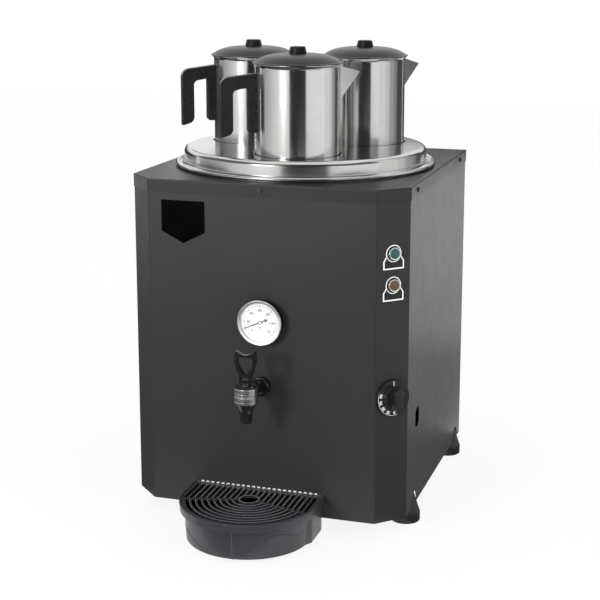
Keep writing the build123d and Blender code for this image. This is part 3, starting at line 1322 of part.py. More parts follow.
with BuildPart() as drip_tray:
    tray_cup(0, TRAY_BOTTOM, Mode.ADD)
    with BuildSketch(Plane.XY.offset(band_bottom)):
        tray_outline(band_radius, TRAY_BACK)
    extrude(amount=TRAY_BAND)
    with BuildSketch(Plane.XY.offset(TRAY_TOP - TRAY_LIP)):
        tray_outline(TRAY_RADIUS, TRAY_BACK)
    extrude(amount=TRAY_LIP)
    tray_cup(TRAY_WALL, TRAY_BOTTOM + TRAY_FLOOR, Mode.SUBTRACT)
    with BuildSketch(Plane.XY.offset(band_bottom + TRAY_WALL)):
        tray_outline(band_radius - TRAY_LEDGE, TRAY_BACK + TRAY_WALL)
    extrude(amount=TRAY_BAND, mode=Mode.SUBTRACT)
    with BuildSketch(Plane.XY.offset(GRILLE_TOP - GRILLE_THICK)):
        tray_outline(TRAY_RADIUS - TRAY_WALL, TRAY_BACK + TRAY_WALL)
    extrude(amount=GRILLE_THICK + TRAY_BAND, mode=Mode.SUBTRACT)
    # Two hooks reach through slots in the panel and turn down behind it.
    for x in (TRAY_X - HOOK_X, TRAY_X + HOOK_X):
        with BuildSketch(Plane(origin=(x, FRONT_Y, 0), x_dir=(0, 1, 0), z_dir=(1, 0, 0))):
            Polygon(
                (-TRAY_BACK - TRAY_WALL / 2, HOOK_HEIGHT),
                (SHEET + 0.4, HOOK_HEIGHT),
                (SHEET + 0.4, HOOK_HEIGHT + HOOK_ARM - HOOK_LIFT - 2),
                (SHEET + 3, HOOK_HEIGHT + HOOK_ARM - HOOK_LIFT - 2),
                (SHEET + 3, HOOK_HEIGHT + HOOK_ARM),
                (-TRAY_BACK - TRAY_WALL / 2, HOOK_HEIGHT + HOOK_ARM),
                align=None,
            )
        extrude(amount=HOOK_WIDTH / 2, both=True)
save(drip_tray, "drip_tray")

GRILLE_RADIUS = TRAY_RADIUS - TRAY_WALL - 0.5
GRILLE_BACK = TRAY_BACK + TRAY_WALL + 0.5
HUB_RADIUS = 14.0
RIB_PITCH = 9.2
RIB_WIDTH = 3.6
RING_SLOTS = 9
SPOKE_TURN = 15.0
SPOKE_WIDTH = 4.0
BACK_SLOT_PITCH = 8.7
BACK_SLOT_WIDTH = 5.2
BACK_SLOTS = 23
BACK_BAR = 5.0
hub_edge = HUB_RADIUS + RIB_WIDTH


def spoke_region(shift, far_y):
    """Everything on one side of the two spokes, which lean forward from the hub."""
    spoke_x = 2 * TRAY_RADIUS * cos(radians(SPOKE_TURN))
    spoke_y = -2 * TRAY_RADIUS * sin(radians(SPOKE_TURN)) + shift
    Polygon(
        (0, shift), (spoke_x, spoke_y), (spoke_x, far_y), (-spoke_x, far_y), (-spoke_x, spoke_y),
        align=None, mode=Mode.SUBTRACT,
    )


with BuildPart() as drip_grille:
    with BuildSketch(Plane.XY.offset(GRILLE_TOP - GRILLE_THICK)):
        tray_outline(GRILLE_RADIUS, GRILLE_BACK)
        with Locations((TRAY_X, TRAY_Y)):
            Circle(HUB_RADIUS, mode=Mode.SUBTRACT)
    extrude(amount=GRILLE_THICK)
    grille_plane = Plane(origin=(TRAY_X, TRAY_Y, GRILLE_TOP - GRILLE_THICK))
    # Ring slots in front of the spokes.
    with BuildSketch(grille_plane):
        for ring in reversed(range(RING_SLOTS)):
            slot_inner = hub_edge + ring * RIB_PITCH
            Circle(slot_inner + RIB_PITCH - RIB_WIDTH)
            Circle(slot_inner, mode=Mode.SUBTRACT)
        spoke_region(-SPOKE_WIDTH / 2, TRAY_RADIUS)
    extrude(amount=GRILLE_THICK, mode=Mode.SUBTRACT)
    # Straight slots behind them, square to the panel.
    with BuildSketch(grille_plane):
        with Locations((0, TRAY_CENTRE - GRILLE_BACK - BACK_BAR)):
            with GridLocations(BACK_SLOT_PITCH, 1, BACK_SLOTS, 1):
                Rectangle(BACK_SLOT_WIDTH, TRAY_RADIUS, align=(Align.CENTER, Align.MAX))
        spoke_region(SPOKE_WIDTH / 2, -2 * TRAY_RADIUS)
        Circle(hub_edge, mode=Mode.SUBTRACT)
    extrude(amount=GRILLE_THICK, mode=Mode.SUBTRACT)
save(drip_grille, "drip_grille")
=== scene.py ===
from math import atan2, cos, pi, radians, sin, sqrt, tan

import bmesh
import bpy
from mathutils import Matrix, Vector


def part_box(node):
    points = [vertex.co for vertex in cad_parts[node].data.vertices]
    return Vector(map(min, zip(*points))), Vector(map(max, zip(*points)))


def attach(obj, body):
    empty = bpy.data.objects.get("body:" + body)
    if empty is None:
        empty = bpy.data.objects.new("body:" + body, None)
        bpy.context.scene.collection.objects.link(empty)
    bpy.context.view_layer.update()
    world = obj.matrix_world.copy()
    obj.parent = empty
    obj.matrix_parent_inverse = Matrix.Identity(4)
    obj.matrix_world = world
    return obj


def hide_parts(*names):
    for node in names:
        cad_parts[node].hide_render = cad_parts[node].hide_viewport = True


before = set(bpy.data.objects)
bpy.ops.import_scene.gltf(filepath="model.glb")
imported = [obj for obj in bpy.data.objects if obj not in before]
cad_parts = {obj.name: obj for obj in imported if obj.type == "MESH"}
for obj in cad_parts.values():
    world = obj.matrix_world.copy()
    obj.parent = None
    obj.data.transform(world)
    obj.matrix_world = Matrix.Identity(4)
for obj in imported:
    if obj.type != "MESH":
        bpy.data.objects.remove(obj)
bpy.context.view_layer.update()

# ---- Feet ----
# Four injection-moulded feet, a short collar under a cone, bolted up into the base pan.
# Black nylon with the fine matt skin of a spark-eroded mould.

UP = Vector((0, 0, 1))
FRONT_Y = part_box("front_panel")[0].y
TANK_Y = FRONT_Y + 0.226
FOOT_DEPTHS = (0.094, 0.412)
FOOT_SPOTS = [(x, FRONT_Y + depth) for x in (-0.2065, 0.2065) for depth in FOOT_DEPTHS]
FOOT_PROFILE = [
    (0, 0), (0.0205, 0), (0.0226, 0.0009), (0.023, 0.0025), (0.023, 0.0148), (0.0222, 0.0165),
    (0.0112, 0.0505), (0.0094, 0.053), (0, 0.053),
]


def shader_group(name, *inputs):
    """Start an effect with a colour and more inputs, and give its inner input and output nodes."""
    group = bpy.data.node_groups.new(name, "ShaderNodeTree")
    group.interface.new_socket("Colour", in_out="INPUT", socket_type="NodeSocketColor")
    for socket, kind, value in inputs:
        made = group.interface.new_socket(socket, in_out="INPUT", socket_type=f"NodeSocket{kind}")
        if value is not None:
            made.default_value = value
    for socket, kind in (("Colour", "Color"), ("Roughness", "Float"), ("Height", "Float")):
        group.interface.new_socket(socket, in_out="OUTPUT", socket_type=f"NodeSocket{kind}")
    return group, group.nodes.new("NodeGroupInput").outputs, group.nodes.new("NodeGroupOutput").inputs


def node(tree, kind, values=(), **settings):
    """Add one shader node, set its properties and fill or link its inputs."""
    made = tree.nodes.new(f"ShaderNode{kind}")
    for setting, value in settings.items():
        setattr(made, setting, value)
    for socket, value in dict(values).items():
        target = made.inputs[socket]
        if isinstance(value, bpy.types.NodeSocket):
            tree.links.new(value, target)
        else:
            target.default_value = value
    return made


def maths(tree, operation, *values):
    """Result of a sum or product of values."""
    return node(tree, "Math", dict(enumerate(values)), operation=operation).outputs["Value"]


def noise(tree, place, scale, detail, roughness=0.5):
    """Noise pattern over a place."""
    values = {"Vector": place, "Scale": scale, "Detail": detail, "Roughness": roughness}
    return node(tree, "TexNoise", values).outputs["Fac"]


def ranged(tree, value, low, high, least, most):
    """Value carried from one range into another."""
    values = {"Value": value, "From Min": low, "From Max": high, "To Min": least, "To Max": most}
    return node(tree, "MapRange", values).outputs["Result"]


def give_out(group, result, colour, lift, gloss, wear, height):
    """Give out a colour times its lift, a gloss with its wear added, and a height."""
    tone = node(group, "VectorMath", {0: colour, "Scale": lift}, operation="SCALE")
    group.links.new(tone.outputs["Vector"], result["Colour"])
    group.links.new(maths(group, "ADD", gloss, wear), result["Roughness"])
    group.links.new(height, result["Height"])
    return group


def moulded_skin_group():
    """Fine matt grain, faint scuffs and a slow drift of tone over moulded plastic."""
    group, given, result = shader_group("moulded skin", ("Gloss", "Float", 0.4), ("Grain", "Float", 1800.0))
    place = node(group, "TexCoord").outputs["Object"]
    lift = ranged(group, noise(group, place, 14.0, 2.0), 0.3, 0.7, 0.86, 1.14)
    wear = ranged(group, noise(group, place, 70.0, 6.0, 0.7), 0.35, 0.75, -0.05, 0.09)
    grain = noise(group, place, given["Grain"], 3.0)
    return give_out(group, result, given["Colour"], lift, given["Gloss"], wear, grain)


def surface(name, effect, values, bump=0.1, **constants):
    """Material whose colour, roughness and bump come from an effect group placed in it."""
    made = bpy.data.materials.new(name)
    made.use_nodes = True
    tree = made.node_tree
    shader = tree.nodes["Principled BSDF"]
    source = tree.nodes.new("ShaderNodeGroup")
    source.node_tree = effect
    for socket, value in values.items():
        source.inputs[socket].default_value = value
    tree.links.new(source.outputs["Colour"], shader.inputs["Base Color"])
    tree.links.new(source.outputs["Roughness"], shader.inputs["Roughness"])
    relief = {"Strength": bump, "Distance": 0.0002, "Height": source.outputs["Height"]}
    tree.links.new(node(tree, "Bump", relief).outputs["Normal"], shader.inputs["Normal"])
    for socket, value in constants.items():
        shader.inputs[socket.replace("_", " ")].default_value = value
    return made


def turned(profile, place=(0, 0, 0), axis=(0, 0, 1), steps=64, start=None):
    """Spin (radius, height) points, each with its corner's rounding if any, into a closed shell."""
    axis = Vector(axis).normalized()
    side = Vector(start) if start else (Vector((1, 0, 0)) if abs(axis.x) < 0.5 else Vector((0, 1, 0)))
    side = (side - axis * side.dot(axis)).normalized()
    origin = Vector(place)
    bm = bmesh.new()
    row = [bm.verts.new(origin + side * point[0] + axis * point[1]) for point in profile]
    for pair in zip(row, row[1:]):
        bm.edges.new(pair)
    for vert, point in zip(row, profile):
        if len(point) > 2:
            arms = [edge.other_vert(vert).co - vert.co for edge in vert.link_edges]
            bmesh.ops.bevel(
                bm, geom=[vert], offset=point[2] / tan(arms[0].angle(arms[1]) / 2),
                segments=18 if point[2] > 0.1 else 5, profile=0.5, affect="VERTICES", material=-1,
            )
    bmesh.ops.spin(
        bm, geom=bm.verts[:] + bm.edges[:], cent=origin, axis=axis, angle=2 * pi, steps=steps,
        use_merge=True,
    )
    bmesh.ops.remove_doubles(bm, verts=bm.verts, dist=1e-6)
    return bm


def join(*meshes):
    """Put several meshes into the first one."""
    first = meshes[0]
    for other in meshes[1:]:
        carrier = bpy.data.meshes.new("carrier")
        other.to_mesh(carrier)
        other.free()
        first.from_mesh(carrier)
        bpy.data.meshes.remove(carrier)
    return first


def place_in_scene(name, data):
    """Make an object from a mesh, type, lamp or camera and put it in the scene."""
    made = bpy.data.objects.new(name, data)
    bpy.context.scene.collection.objects.link(made)
    return made


def piece(bm, name, material, body, slot, *cad_nodes, crease=38):
    """Finish a mesh as one named piece that rides on a body and stands for CAD nodes."""
    bmesh.ops.recalc_face_normals(bm, faces=bm.faces)
    mesh = bpy.data.meshes.new(name)
    bm.to_mesh(mesh)
    bm.free()
    mesh.shade_smooth()
    mesh.set_sharp_from_angle(angle=radians(crease))
    mesh.materials.append(material)
    made = place_in_scene(name, mesh)
    shading = made.modifiers.new("even shading", "WEIGHTED_NORMAL")
    shading.keep_sharp = True
    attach(made, body)
    if cad_nodes:
        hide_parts(*cad_nodes)


def dress(material, *cad_nodes):
    """Give CAD nodes that keep their shape a finish."""
    for name in cad_nodes:
        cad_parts[name].material_slots[0].material = material


moulded_skin = moulded_skin_group()


def plastic(name, colour, gloss, grain=1800.0, **more):
    """Moulded plastic of a colour and a roughness."""
    return surface(name, moulded_skin, {"Colour": (*colour, 1), "Gloss": gloss, "Grain": grain}, **more)


foot_nylon = plastic("foot nylon", (0.014, 0.014, 0.015), 0.42, grain=1500.0)
piece(
    join(*[turned(FOOT_PROFILE, (x, y, 0), steps=56) for x, y in FOOT_SPOTS]),
    "feet", foot_nylon, "cabinet", "feet", "feet",
)

# ---- Base pan and posts ----
# Folded pan, slotted for air and coated like the sheets, under four square tubes that carry the
# tank. The tubes and the feet's hexagon bolts are zinc-plated steel with a faint grey spangle.


def mottled_metal_group():
    """Mottled tone and uneven gloss of plated, rolled or cast metal."""
    group, given, result = shader_group("mottled metal", ("Gloss", "Float", 0.35), ("Size", "Float", 90.0))
    place = node(group, "TexCoord").outputs["Object"]
    cells = node(group, "TexVoronoi", {"Vector": place, "Scale": given["Size"]})
    haze = noise(group, place, 22.0, 5.0)
    spread = maths(group, "ADD", cells.outputs["Color"], haze)
    lift = ranged(group, spread, 0.3, 1.6, 0.8, 1.12)
    wear = ranged(group, haze, 0.3, 0.7, -0.07, 0.1)
    fine = noise(group, place, 900.0, 2.0)
    return give_out(group, result, given["Colour"], lift, given["Gloss"], wear, fine)


mottled_metal = mottled_metal_group()


def metal(name, colour, gloss=0.35, size=90.0, metallic=1.0, **more):
    """Plated, drawn or turned metal of a colour and a roughness."""
    values = {"Colour": (*colour, 1), "Gloss": gloss, "Size": size}
    return surface(name, mottled_metal, values, Metallic=metallic, **more)


zinc = metal("zinc plate", (0.55, 0.56, 0.58), 0.38)
dress(zinc, "foot_bolts", "tank_posts")

# ---- Cabinet sheets ----
# Front and both corner faces folded from one sheet, with flat sides lapped over its flanges.
# 1.2 mm steel in a satin charcoal powder coat with a faint orange-peel skin.

SHEET = 0.0012
PANEL_BOTTOM = 0.026
COVER_TOP = 0.539
COVER_UNDER = COVER_TOP - SHEET
HALF_WIDTH = 0.22
CORNER_CUT = 0.04
BACK_Y = FRONT_Y + 0.452
COVER_SCREW_Z = COVER_TOP - 0.01
TAP_Z = 0.228
GAUGE_X = 0.0034
GAUGE_Z = 0.3306
KNOB_Z = 0.223
KNOB_DOT_Z = KNOB_Z + 0.0357
LAMP_HEIGHTS = (0.4427, 0.395)
TRAY_X = -0.004
OUT = Vector((0, -1, 0))
CORNER_OUT = Vector((1, -1, 0)).normalized()
CORNER_MIDDLE = Vector((HALF_WIDTH - CORNER_CUT / 2, FRONT_Y + CORNER_CUT / 2, 0))


def powder_coat_group():
    """Orange-peel skin, slow tone drift and thin handling marks of a powder coat."""
    group, given, result = shader_group("powder coat", ("Gloss", "Float", 0.35), ("Peel", "Float", 420.0))
    place = node(group, "TexCoord").outputs["Object"]
    lift = ranged(group, noise(group, place, 3.5, 3.0), 0.3, 0.7, 0.94, 1.06)
    wear = ranged(group, noise(group, place, 26.0, 7.0, 0.75), 0.4, 0.8, -0.02, 0.05)
    grit = noise(group, place, 2600.0, 2.0)
    skin = maths(group, "MULTIPLY_ADD", grit, 0.25, noise(group, place, given["Peel"], 1.5))
    return give_out(group, result, given["Colour"], lift, given["Gloss"], wear, skin)


powder_coat = powder_coat_group()


def coat(name, colour, gloss, **more):
    """Powder coat of a colour and a roughness."""
    return surface(name, powder_coat, {"Colour": (*colour, 1), "Gloss": gloss}, **more)


front_coat = coat("charcoal coat", (0.0235, 0.0235, 0.0242), 0.42, bump=0.12, Specular_IOR_Level=0.35)
# The sides take the front's charcoal coat in a lighter colour: painted light for the brighter light that
# falls on the flat sides.
lit_side_coat = coat("side coat painted lighter", (0.045, 0.045, 0.046), 0.36)


def move_to(bm, place, out):
    """Stand a mesh made flat in X and Y on a face: Y goes up it, Z comes out of it."""
    out = Vector(out).normalized()
    across = UP.cross(out).normalized()
    turn = Matrix((across, out.cross(across), out)).transposed().to_4x4()
    bmesh.ops.transform(bm, matrix=Matrix.Translation(place) @ turn, verts=bm.verts)
    return bm


def slab(outline, low, high):
    """Flat plate of any outline between two heights."""
    bm = bmesh.new()
    face = bm.faces.new([bm.verts.new((x, y, low)) for x, y in outline])
    grown = bmesh.ops.extrude_face_region(bm, geom=[face])
    bmesh.ops.translate(
        bm, vec=(0, 0, high - low),
        verts=[v for v in grown["geom"] if isinstance(v, bmesh.types.BMVert)],
    )
    return bm


def disc(radius, low, high, place=(0, 0), sides=48):
    """Round plate or cutting punch between two heights."""
    bm = bmesh.new()
    bmesh.ops.create_cone(
        bm, cap_ends=True, segments=sides, radius1=radius, radius2=radius, depth=high - low,
        matrix=Matrix.Translation((place[0], place[1], (low + high) / 2)),
    )
    return bm


def block(width, height, low, high, place=(0, 0)):
    """Square-cornered plate or punch between two heights."""
    x, y = place
    return slab(
        [(x - width / 2, y - height / 2), (x + width / 2, y - height / 2),
         (x + width / 2, y + height / 2), (x - width / 2, y + height / 2)], low, high,
    )


def cut(bm, *tools):
    """Take the shape of some tools out of a mesh."""
    pair = []
    for source in (bm, join(*tools)):
        bmesh.ops.recalc_face_normals(source, faces=source.faces)
        mesh = bpy.data.meshes.new("cutting")
        source.to_mesh(mesh)
        source.free()
        pair.append(place_in_scene("cutting", mesh))
    punch = pair[0].modifiers.new("cut", "BOOLEAN")
    punch.operation = "DIFFERENCE"
    punch.solver = "EXACT"
    punch.object = pair[1]
    result = bmesh.new()
    result.from_object(pair[0], bpy.context.evaluated_depsgraph_get())
    for used in pair:
        mesh = used.data
        bpy.data.objects.remove(used)
        bpy.data.meshes.remove(mesh)
    return result


def round_edges(bm, radius, segments=3, least=30, where=None):
    """Round the edges of a mesh that are sharper than an angle, or those that a test picks."""
    edges = [
        edge for edge in bm.edges
        if edge.is_manifold and edge.calc_face_angle() > radians(least) and (not where or where(edge))
    ]
    bmesh.ops.bevel(
        bm, geom=edges, offset=radius, segments=segments, profile=0.5, affect="EDGES", material=-1,
        clamp_overlap=True,
    )
    return bm


def upright(edge):
    """Whether an edge stands vertical."""
    along = edge.verts[1].co - edge.verts[0].co
    return abs(along.z) > 0.99 * along.length


def above(height):
    """Test for the edges that lie above a height."""
    return lambda edge: min(vert.co.z for vert in edge.verts) > height


FOLD_RADIUS = 0.0018
THROUGH = (-0.01, 0.01)
HOOK_SPOTS = [(TRAY_X + side * 0.058, 0.034) for side in (-1, 1)]
fold_line = [
    (-HALF_WIDTH, FRONT_Y + CORNER_CUT - 0.0004), (-HALF_WIDTH + CORNER_CUT, FRONT_Y),
    (HALF_WIDTH - CORNER_CUT, FRONT_Y), (HALF_WIDTH, FRONT_Y + CORNER_CUT - 0.0004),
]
front_sheet = bmesh.new()
fold_verts = [front_sheet.verts.new((x, y, PANEL_BOTTOM)) for x, y in fold_line]
fold_edges = [front_sheet.edges.new(ends) for ends in zip(fold_verts, fold_verts[1:])]
raised = bmesh.ops.extrude_edge_only(front_sheet, edges=fold_edges)
bmesh.ops.translate(
    front_sheet, vec=(0, 0, COVER_UNDER - PANEL_BOTTOM),
    verts=[v for v in raised["geom"] if isinstance(v, bmesh.types.BMVert)],
)
round_edges(front_sheet, FOLD_RADIUS, segments=4, least=20, where=upright)
bmesh.ops.recalc_face_normals(front_sheet, faces=front_sheet.faces)
if max(front_sheet.faces, key=lambda face: face.calc_area()).normal.y > 0:
    bmesh.ops.reverse_faces(front_sheet, faces=front_sheet.faces)
bmesh.ops.solidify(front_sheet, geom=front_sheet.faces, thickness=SHEET)
punches = [
    move_to(disc(0.008, *THROUGH), (0, FRONT_Y, TAP_Z), OUT),
    move_to(disc(0.006, *THROUGH), (GAUGE_X, FRONT_Y, GAUGE_Z), OUT),
    move_to(disc(0.002, *THROUGH), (0, FRONT_Y, COVER_SCREW_Z), OUT),
    move_to(disc(0.005, *THROUGH), CORNER_MIDDLE + UP * KNOB_Z, CORNER_OUT),
    move_to(disc(0.0012, *THROUGH, sides=24), CORNER_MIDDLE + UP * KNOB_DOT_Z, CORNER_OUT),
]
for height in LAMP_HEIGHTS:
    punches.append(move_to(disc(0.006, *THROUGH), CORNER_MIDDLE + UP * height, CORNER_OUT))
for x, height in HOOK_SPOTS:
    punches.append(move_to(block(0.0172, 0.012, *THROUGH), (x, FRONT_Y, height + 0.006), OUT))
piece(cut(front_sheet, *punches), "front_sheet", front_coat, "cabinet", "front_paint", "front_panel",
      crease=20)

# Each side is a flat sheet with an arch over each foot; the right one has an eight-sided cut-out.
SIDE_FRONT = FRONT_Y + CORNER_CUT + 0.0004
SIDE_SCREW_DEPTHS = (0.082, 0.4)
CUTOUT_DEPTH = 0.107
CUTOUT_Z = 0.166
ARCH_SIZE = (0.018, 0.022, 1)
CUTOUT = [
    (-0.0125, -0.0095), (-0.0065, -0.0155), (0.0065, -0.0155), (0.0125, -0.0095),
    (0.0125, 0.0095), (0.0065, 0.0155), (-0.0065, 0.0155), (-0.0125, 0.0095),
]


def side_sheet(side):
    """Flat side of the cabinet with its arches, screw holes and, on the right, the cut-out."""
    outline = [
        (SIDE_FRONT, PANEL_BOTTOM), (BACK_Y, PANEL_BOTTOM), (BACK_Y, COVER_UNDER),
        (SIDE_FRONT, COVER_UNDER),
    ]
    sheet = slab(outline, -SHEET, 0)
    round_edges(sheet, 0.00045, segments=3, where=lambda e: max(v.co.z for v in e.verts) > -1e-6)
    tools = []
    for depth in FOOT_DEPTHS:
        arch = disc(1.0, *THROUGH, sides=64)
        bmesh.ops.scale(arch, vec=ARCH_SIZE, verts=arch.verts)
        bmesh.ops.translate(arch, vec=(FRONT_Y + depth, PANEL_BOTTOM, 0), verts=arch.verts)
        tools.append(arch)
    tools += [disc(0.002, *THROUGH, (FRONT_Y + depth, COVER_SCREW_Z)) for depth in SIDE_SCREW_DEPTHS]
    if side > 0:
        tools.append(slab([(FRONT_Y + CUTOUT_DEPTH + x, CUTOUT_Z + y) for x, y in CUTOUT], *THROUGH))
    sheet = cut(sheet, *tools)
    turn = Matrix(((0, 0, side), (1, 0, 0), (0, 1, 0))).to_4x4()
    bmesh.ops.transform(sheet, matrix=Matrix.Translation((side * HALF_WIDTH, 0, 0)) @ turn,
                        verts=sheet.verts)
    return sheet


for side, word in ((-1, "left"), (1, "right")):
    piece(side_sheet(side), f"side_sheet_{word}", lit_side_coat, "cabinet", "side_paint",
          f"side_panel_{word}", crease=20)
dress(front_coat, "back_panel", "base_plate")

# ---- Top cover ----
# Shallow pan pressed over the cabinet, open above the tank, its rim slit at every folded corner.
# Charcoal powder coat, a touch warmer than the sheets; seven pan-head screws hold the rim.

COVER_RIM = 0.02
COVER_HOLE = 0.194
SLIT = 0.0007


def cabinet_outline(inset):
    """Plan of the cabinet set in by a distance: a box with its front corners cut."""
    half = HALF_WIDTH - inset
    cut_back = CORNER_CUT - inset * (2 - sqrt(2))
    front = FRONT_Y + inset
    back = BACK_Y - inset
    return [
        (-half + cut_back, front), (half - cut_back, front), (half, front + cut_back), (half, back),
        (-half, back), (-half, front + cut_back),
    ]


def turn_flat(bm, angle):
    """Turn a mesh made flat in X and Y about its own upright axis."""
    bmesh.ops.rotate(bm, cent=(0, 0, 0), matrix=Matrix.Rotation(angle, 3, "Z"), verts=bm.verts)


cover = slab(cabinet_outline(-SHEET), COVER_TOP - COVER_RIM, COVER_TOP)
round_edges(cover, 0.0016, segments=4, where=above(COVER_TOP - 1e-6))
cover_tools = [
    slab(cabinet_outline(0.0), COVER_TOP - COVER_RIM - 0.01, COVER_UNDER),
    disc(COVER_HOLE, COVER_TOP - 0.03, COVER_TOP + 0.01, (0, TANK_Y), sides=192),
]
for x, y in cabinet_outline(-SHEET):
    slit = block(SLIT, 0.008, COVER_TOP - COVER_RIM - 0.001, COVER_UNDER - 0.0008)
    turn_flat(slit, atan2(y - TANK_Y, x) + pi / 2)
    bmesh.ops.translate(slit, vec=(x, y, 0), verts=slit.verts)
    cover_tools.append(slit)
cover_coat = coat("cover coat", (0.019, 0.0175, 0.02), 0.34, Specular_IOR_Level=0.36)
for tool in cover_tools:
    cover = cut(cover, tool)
piece(cover, "top_cover_pan", cover_coat, "cabinet", "cover_paint", "top_cover", crease=24)
screw_black = metal("blackened screw", (0.05, 0.05, 0.052), metallic=0.6)
dress(screw_black, "cover_screws")

# ---- Badge ----
# Shield-shaped plate stuck to the front sheet, left bare.
# Gloss black acrylic with a polished slanted edge.

gloss_black = plastic("badge acrylic", (0.0012, 0.0012, 0.0014), 0.2, bump=0.03, Specular_IOR_Level=0.04)
BADGE = [(-0.1585, 0.5075), (-0.1585, 0.4595), (-0.1235, 0.442), (-0.0885, 0.4595), (-0.0885, 0.5075)]
badge = slab([(x, z) for x, z in BADGE], 0, 0.001)
round_edges(badge, 0.0005, segments=2, where=above(0.0009))
piece(move_to(badge, (0, FRONT_Y, 0), OUT), "badge", gloss_black, "cabinet", "badge_plate",
      "badge_plate")

# ---- Tank and heater ----
# Spun stainless pan in a rigid foam jacket, with a ring heater and a cut-out under it.
# Brushed around its axis; the brushing's fine lines follow every turned or spun steel piece.


def brushed_metal_group():
    """Fine lines running round an upright axis, with faint smears and worn gloss."""
    group, given, result = shader_group(
        "brushed metal", ("Gloss", "Float", 0.2), ("Centre", "Vector", None), ("Lines", "Float", 900.0),
        ("Depth", "Float", 0.06),
    )
    place = node(group, "TexCoord").outputs["Object"]
    place = node(group, "VectorMath", {0: place, 1: given["Centre"]}, operation="SUBTRACT").outputs["Vector"]
    parts = node(group, "SeparateXYZ", {"Vector": place}).outputs
    flat = node(group, "CombineXYZ", {"X": parts["X"], "Y": parts["Y"]}).outputs["Vector"]
    radius = node(group, "VectorMath", {0: flat}, operation="LENGTH").outputs["Value"]
    heading = node(group, "VectorMath", {0: flat}, operation="NORMALIZE").outputs["Vector"]
    around = node(group, "SeparateXYZ", {"Vector": heading}).outputs
    across = maths(group, "MULTIPLY", maths(group, "ADD", radius, parts["Z"]), given["Lines"])
    grain = node(group, "CombineXYZ", {"X": across, "Y": around["X"], "Z": around["Y"]}).outputs["Vector"]
    lines = noise(group, grain, 2.0, 4.0)
    lift = ranged(group, lines, 0.25, 0.75, 0.93, 1.05)
    gloss = maths(group, "MULTIPLY_ADD", lines, given["Depth"], given["Gloss"])
    wear = ranged(group, noise(group, place, 16.0, 5.0), 0.4, 0.75, 0.0, 0.05)
    return give_out(group, result, given["Colour"], lift, gloss, wear, lines)


brushed_metal = brushed_metal_group()


def brushed(name, colour, gloss, centre, lines=900.0, depth=0.06, **more):
    """Steel with its brushing round a centre."""
    values = {"Colour": (*colour, 1), "Gloss": gloss, "Centre": centre, "Lines": lines, "Depth": depth}
    return surface(name, brushed_metal, values, Metallic=1.0, **more)


TANK_AXIS = Vector((0, TANK_Y, 0))
tank_steel = brushed("tank stainless", (0.60, 0.59, 0.57), 0.2, TANK_AXIS, bump=0.05)
drawn_steel = metal("drawn steel", (0.5, 0.49, 0.47), 0.3)
brass = metal("turned brass", (0.62, 0.46, 0.2), 0.28)
dress(tank_steel, "tank_shell")
dress(zinc, "limit_thermostat")
dress(drawn_steel, "heating_element", "lever_pin", "valve_stem", "valve_spring", "thermostat_spindle",
      "thermostat_bulb")
dress(brass, "heater_nuts", "gauge_stem", "tap_back_nut")
foam = plastic("moulded foam", (0.5, 0.47, 0.38), 0.85, bump=0.4)
dress(foam, "insulation_jacket")

# ---- Tank lid ----
# Stepped lid spun from 1 mm stainless, with a rolled bead at its edge and three sunk wells. Rings
# welded under the wells carry the pots and are open in the middle for the steam.

LID_TOP = 0.569
WELL_RADIUS = 0.0668
SEAT_TOP = 0.557
POT_CIRCLE = 0.106
# Degrees for each pot: its bearing from the tank's axis, and where its beak and handle point.
POTS = {"front": (-79.0, 36.0, 207.0), "left": (161.0, 40.0, 211.0), "right": (41.0, 43.0, 214.0)}
POT_SPOTS = {
    word: Vector((POT_CIRCLE * cos(radians(bearing)), TANK_Y + POT_CIRCLE * sin(radians(bearing)), 0))
    for word, (bearing, _, _) in POTS.items()
}
lid_steel = brushed("lid stainless", (0.66, 0.65, 0.64), 0.13, TANK_AXIS, lines=1300.0, bump=0.04)
lid = turned([
    (0, LID_TOP), (0.196, LID_TOP, 0.008), (0.196, 0.5422, 0.005), (0.205, 0.5422), (0.205, 0.5462, 0.0022),
    (0.21, 0.5462, 0.0024), (0.21, 0.5402, 0.0024), (0.1878, 0.5402), (0.1878, 0.5282), (0.1868, 0.5282),
    (0.1868, 0.5412), (0.195, 0.5412), (0.195, LID_TOP - 0.001, 0.007), (0, LID_TOP - 0.001),
], TANK_AXIS, steps=192)
lid = cut(lid, *[disc(WELL_RADIUS + 0.0014, 0.56, 0.58, spot.xy, sides=96) for spot in POT_SPOTS.values()])
piece(lid, "tank_lid_sheet", lid_steel, "tank_lid", "stainless", "tank_lid", crease=30)
# The wells and the seat rings under them are coloured near-black: painted shade for the dark gap round each
# pot's foot.
well_shade_steel = brushed("well steel painted dark", (0.05, 0.05, 0.05), 0.45, TANK_AXIS, bump=0.05)
WELL_OUTSIDE = WELL_RADIUS + 0.001
WELL_FLARE = WELL_RADIUS + 0.0016
SEAT_HOLE = 0.044
WELL_PROFILE = [
    (WELL_RADIUS, SEAT_TOP), (WELL_RADIUS, LID_TOP - 0.0006), (WELL_FLARE, LID_TOP - 0.0006),
    (WELL_FLARE, LID_TOP - 0.0012), (WELL_OUTSIDE, LID_TOP - 0.0012), (WELL_OUTSIDE, SEAT_TOP),
    (WELL_RADIUS, SEAT_TOP),
]
SEAT_PROFILE = [
    (SEAT_HOLE, SEAT_TOP - 0.001), (WELL_OUTSIDE, SEAT_TOP - 0.001), (WELL_OUTSIDE, SEAT_TOP),
    (SEAT_HOLE, SEAT_TOP, 0.0003), (SEAT_HOLE, SEAT_TOP - 0.001),
]
wells, seats = (
    join(*[turned(profile, spot, steps=96) for spot in POT_SPOTS.values()])
    for profile in (WELL_PROFILE, SEAT_PROFILE)
)
piece(wells, "tank_lid_wells", well_shade_steel, "tank_lid", "stainless", "tank_lid", crease=30)
piece(seats, "pot_seat_rings", well_shade_steel, "tank_lid", "stainless", "pot_seats")
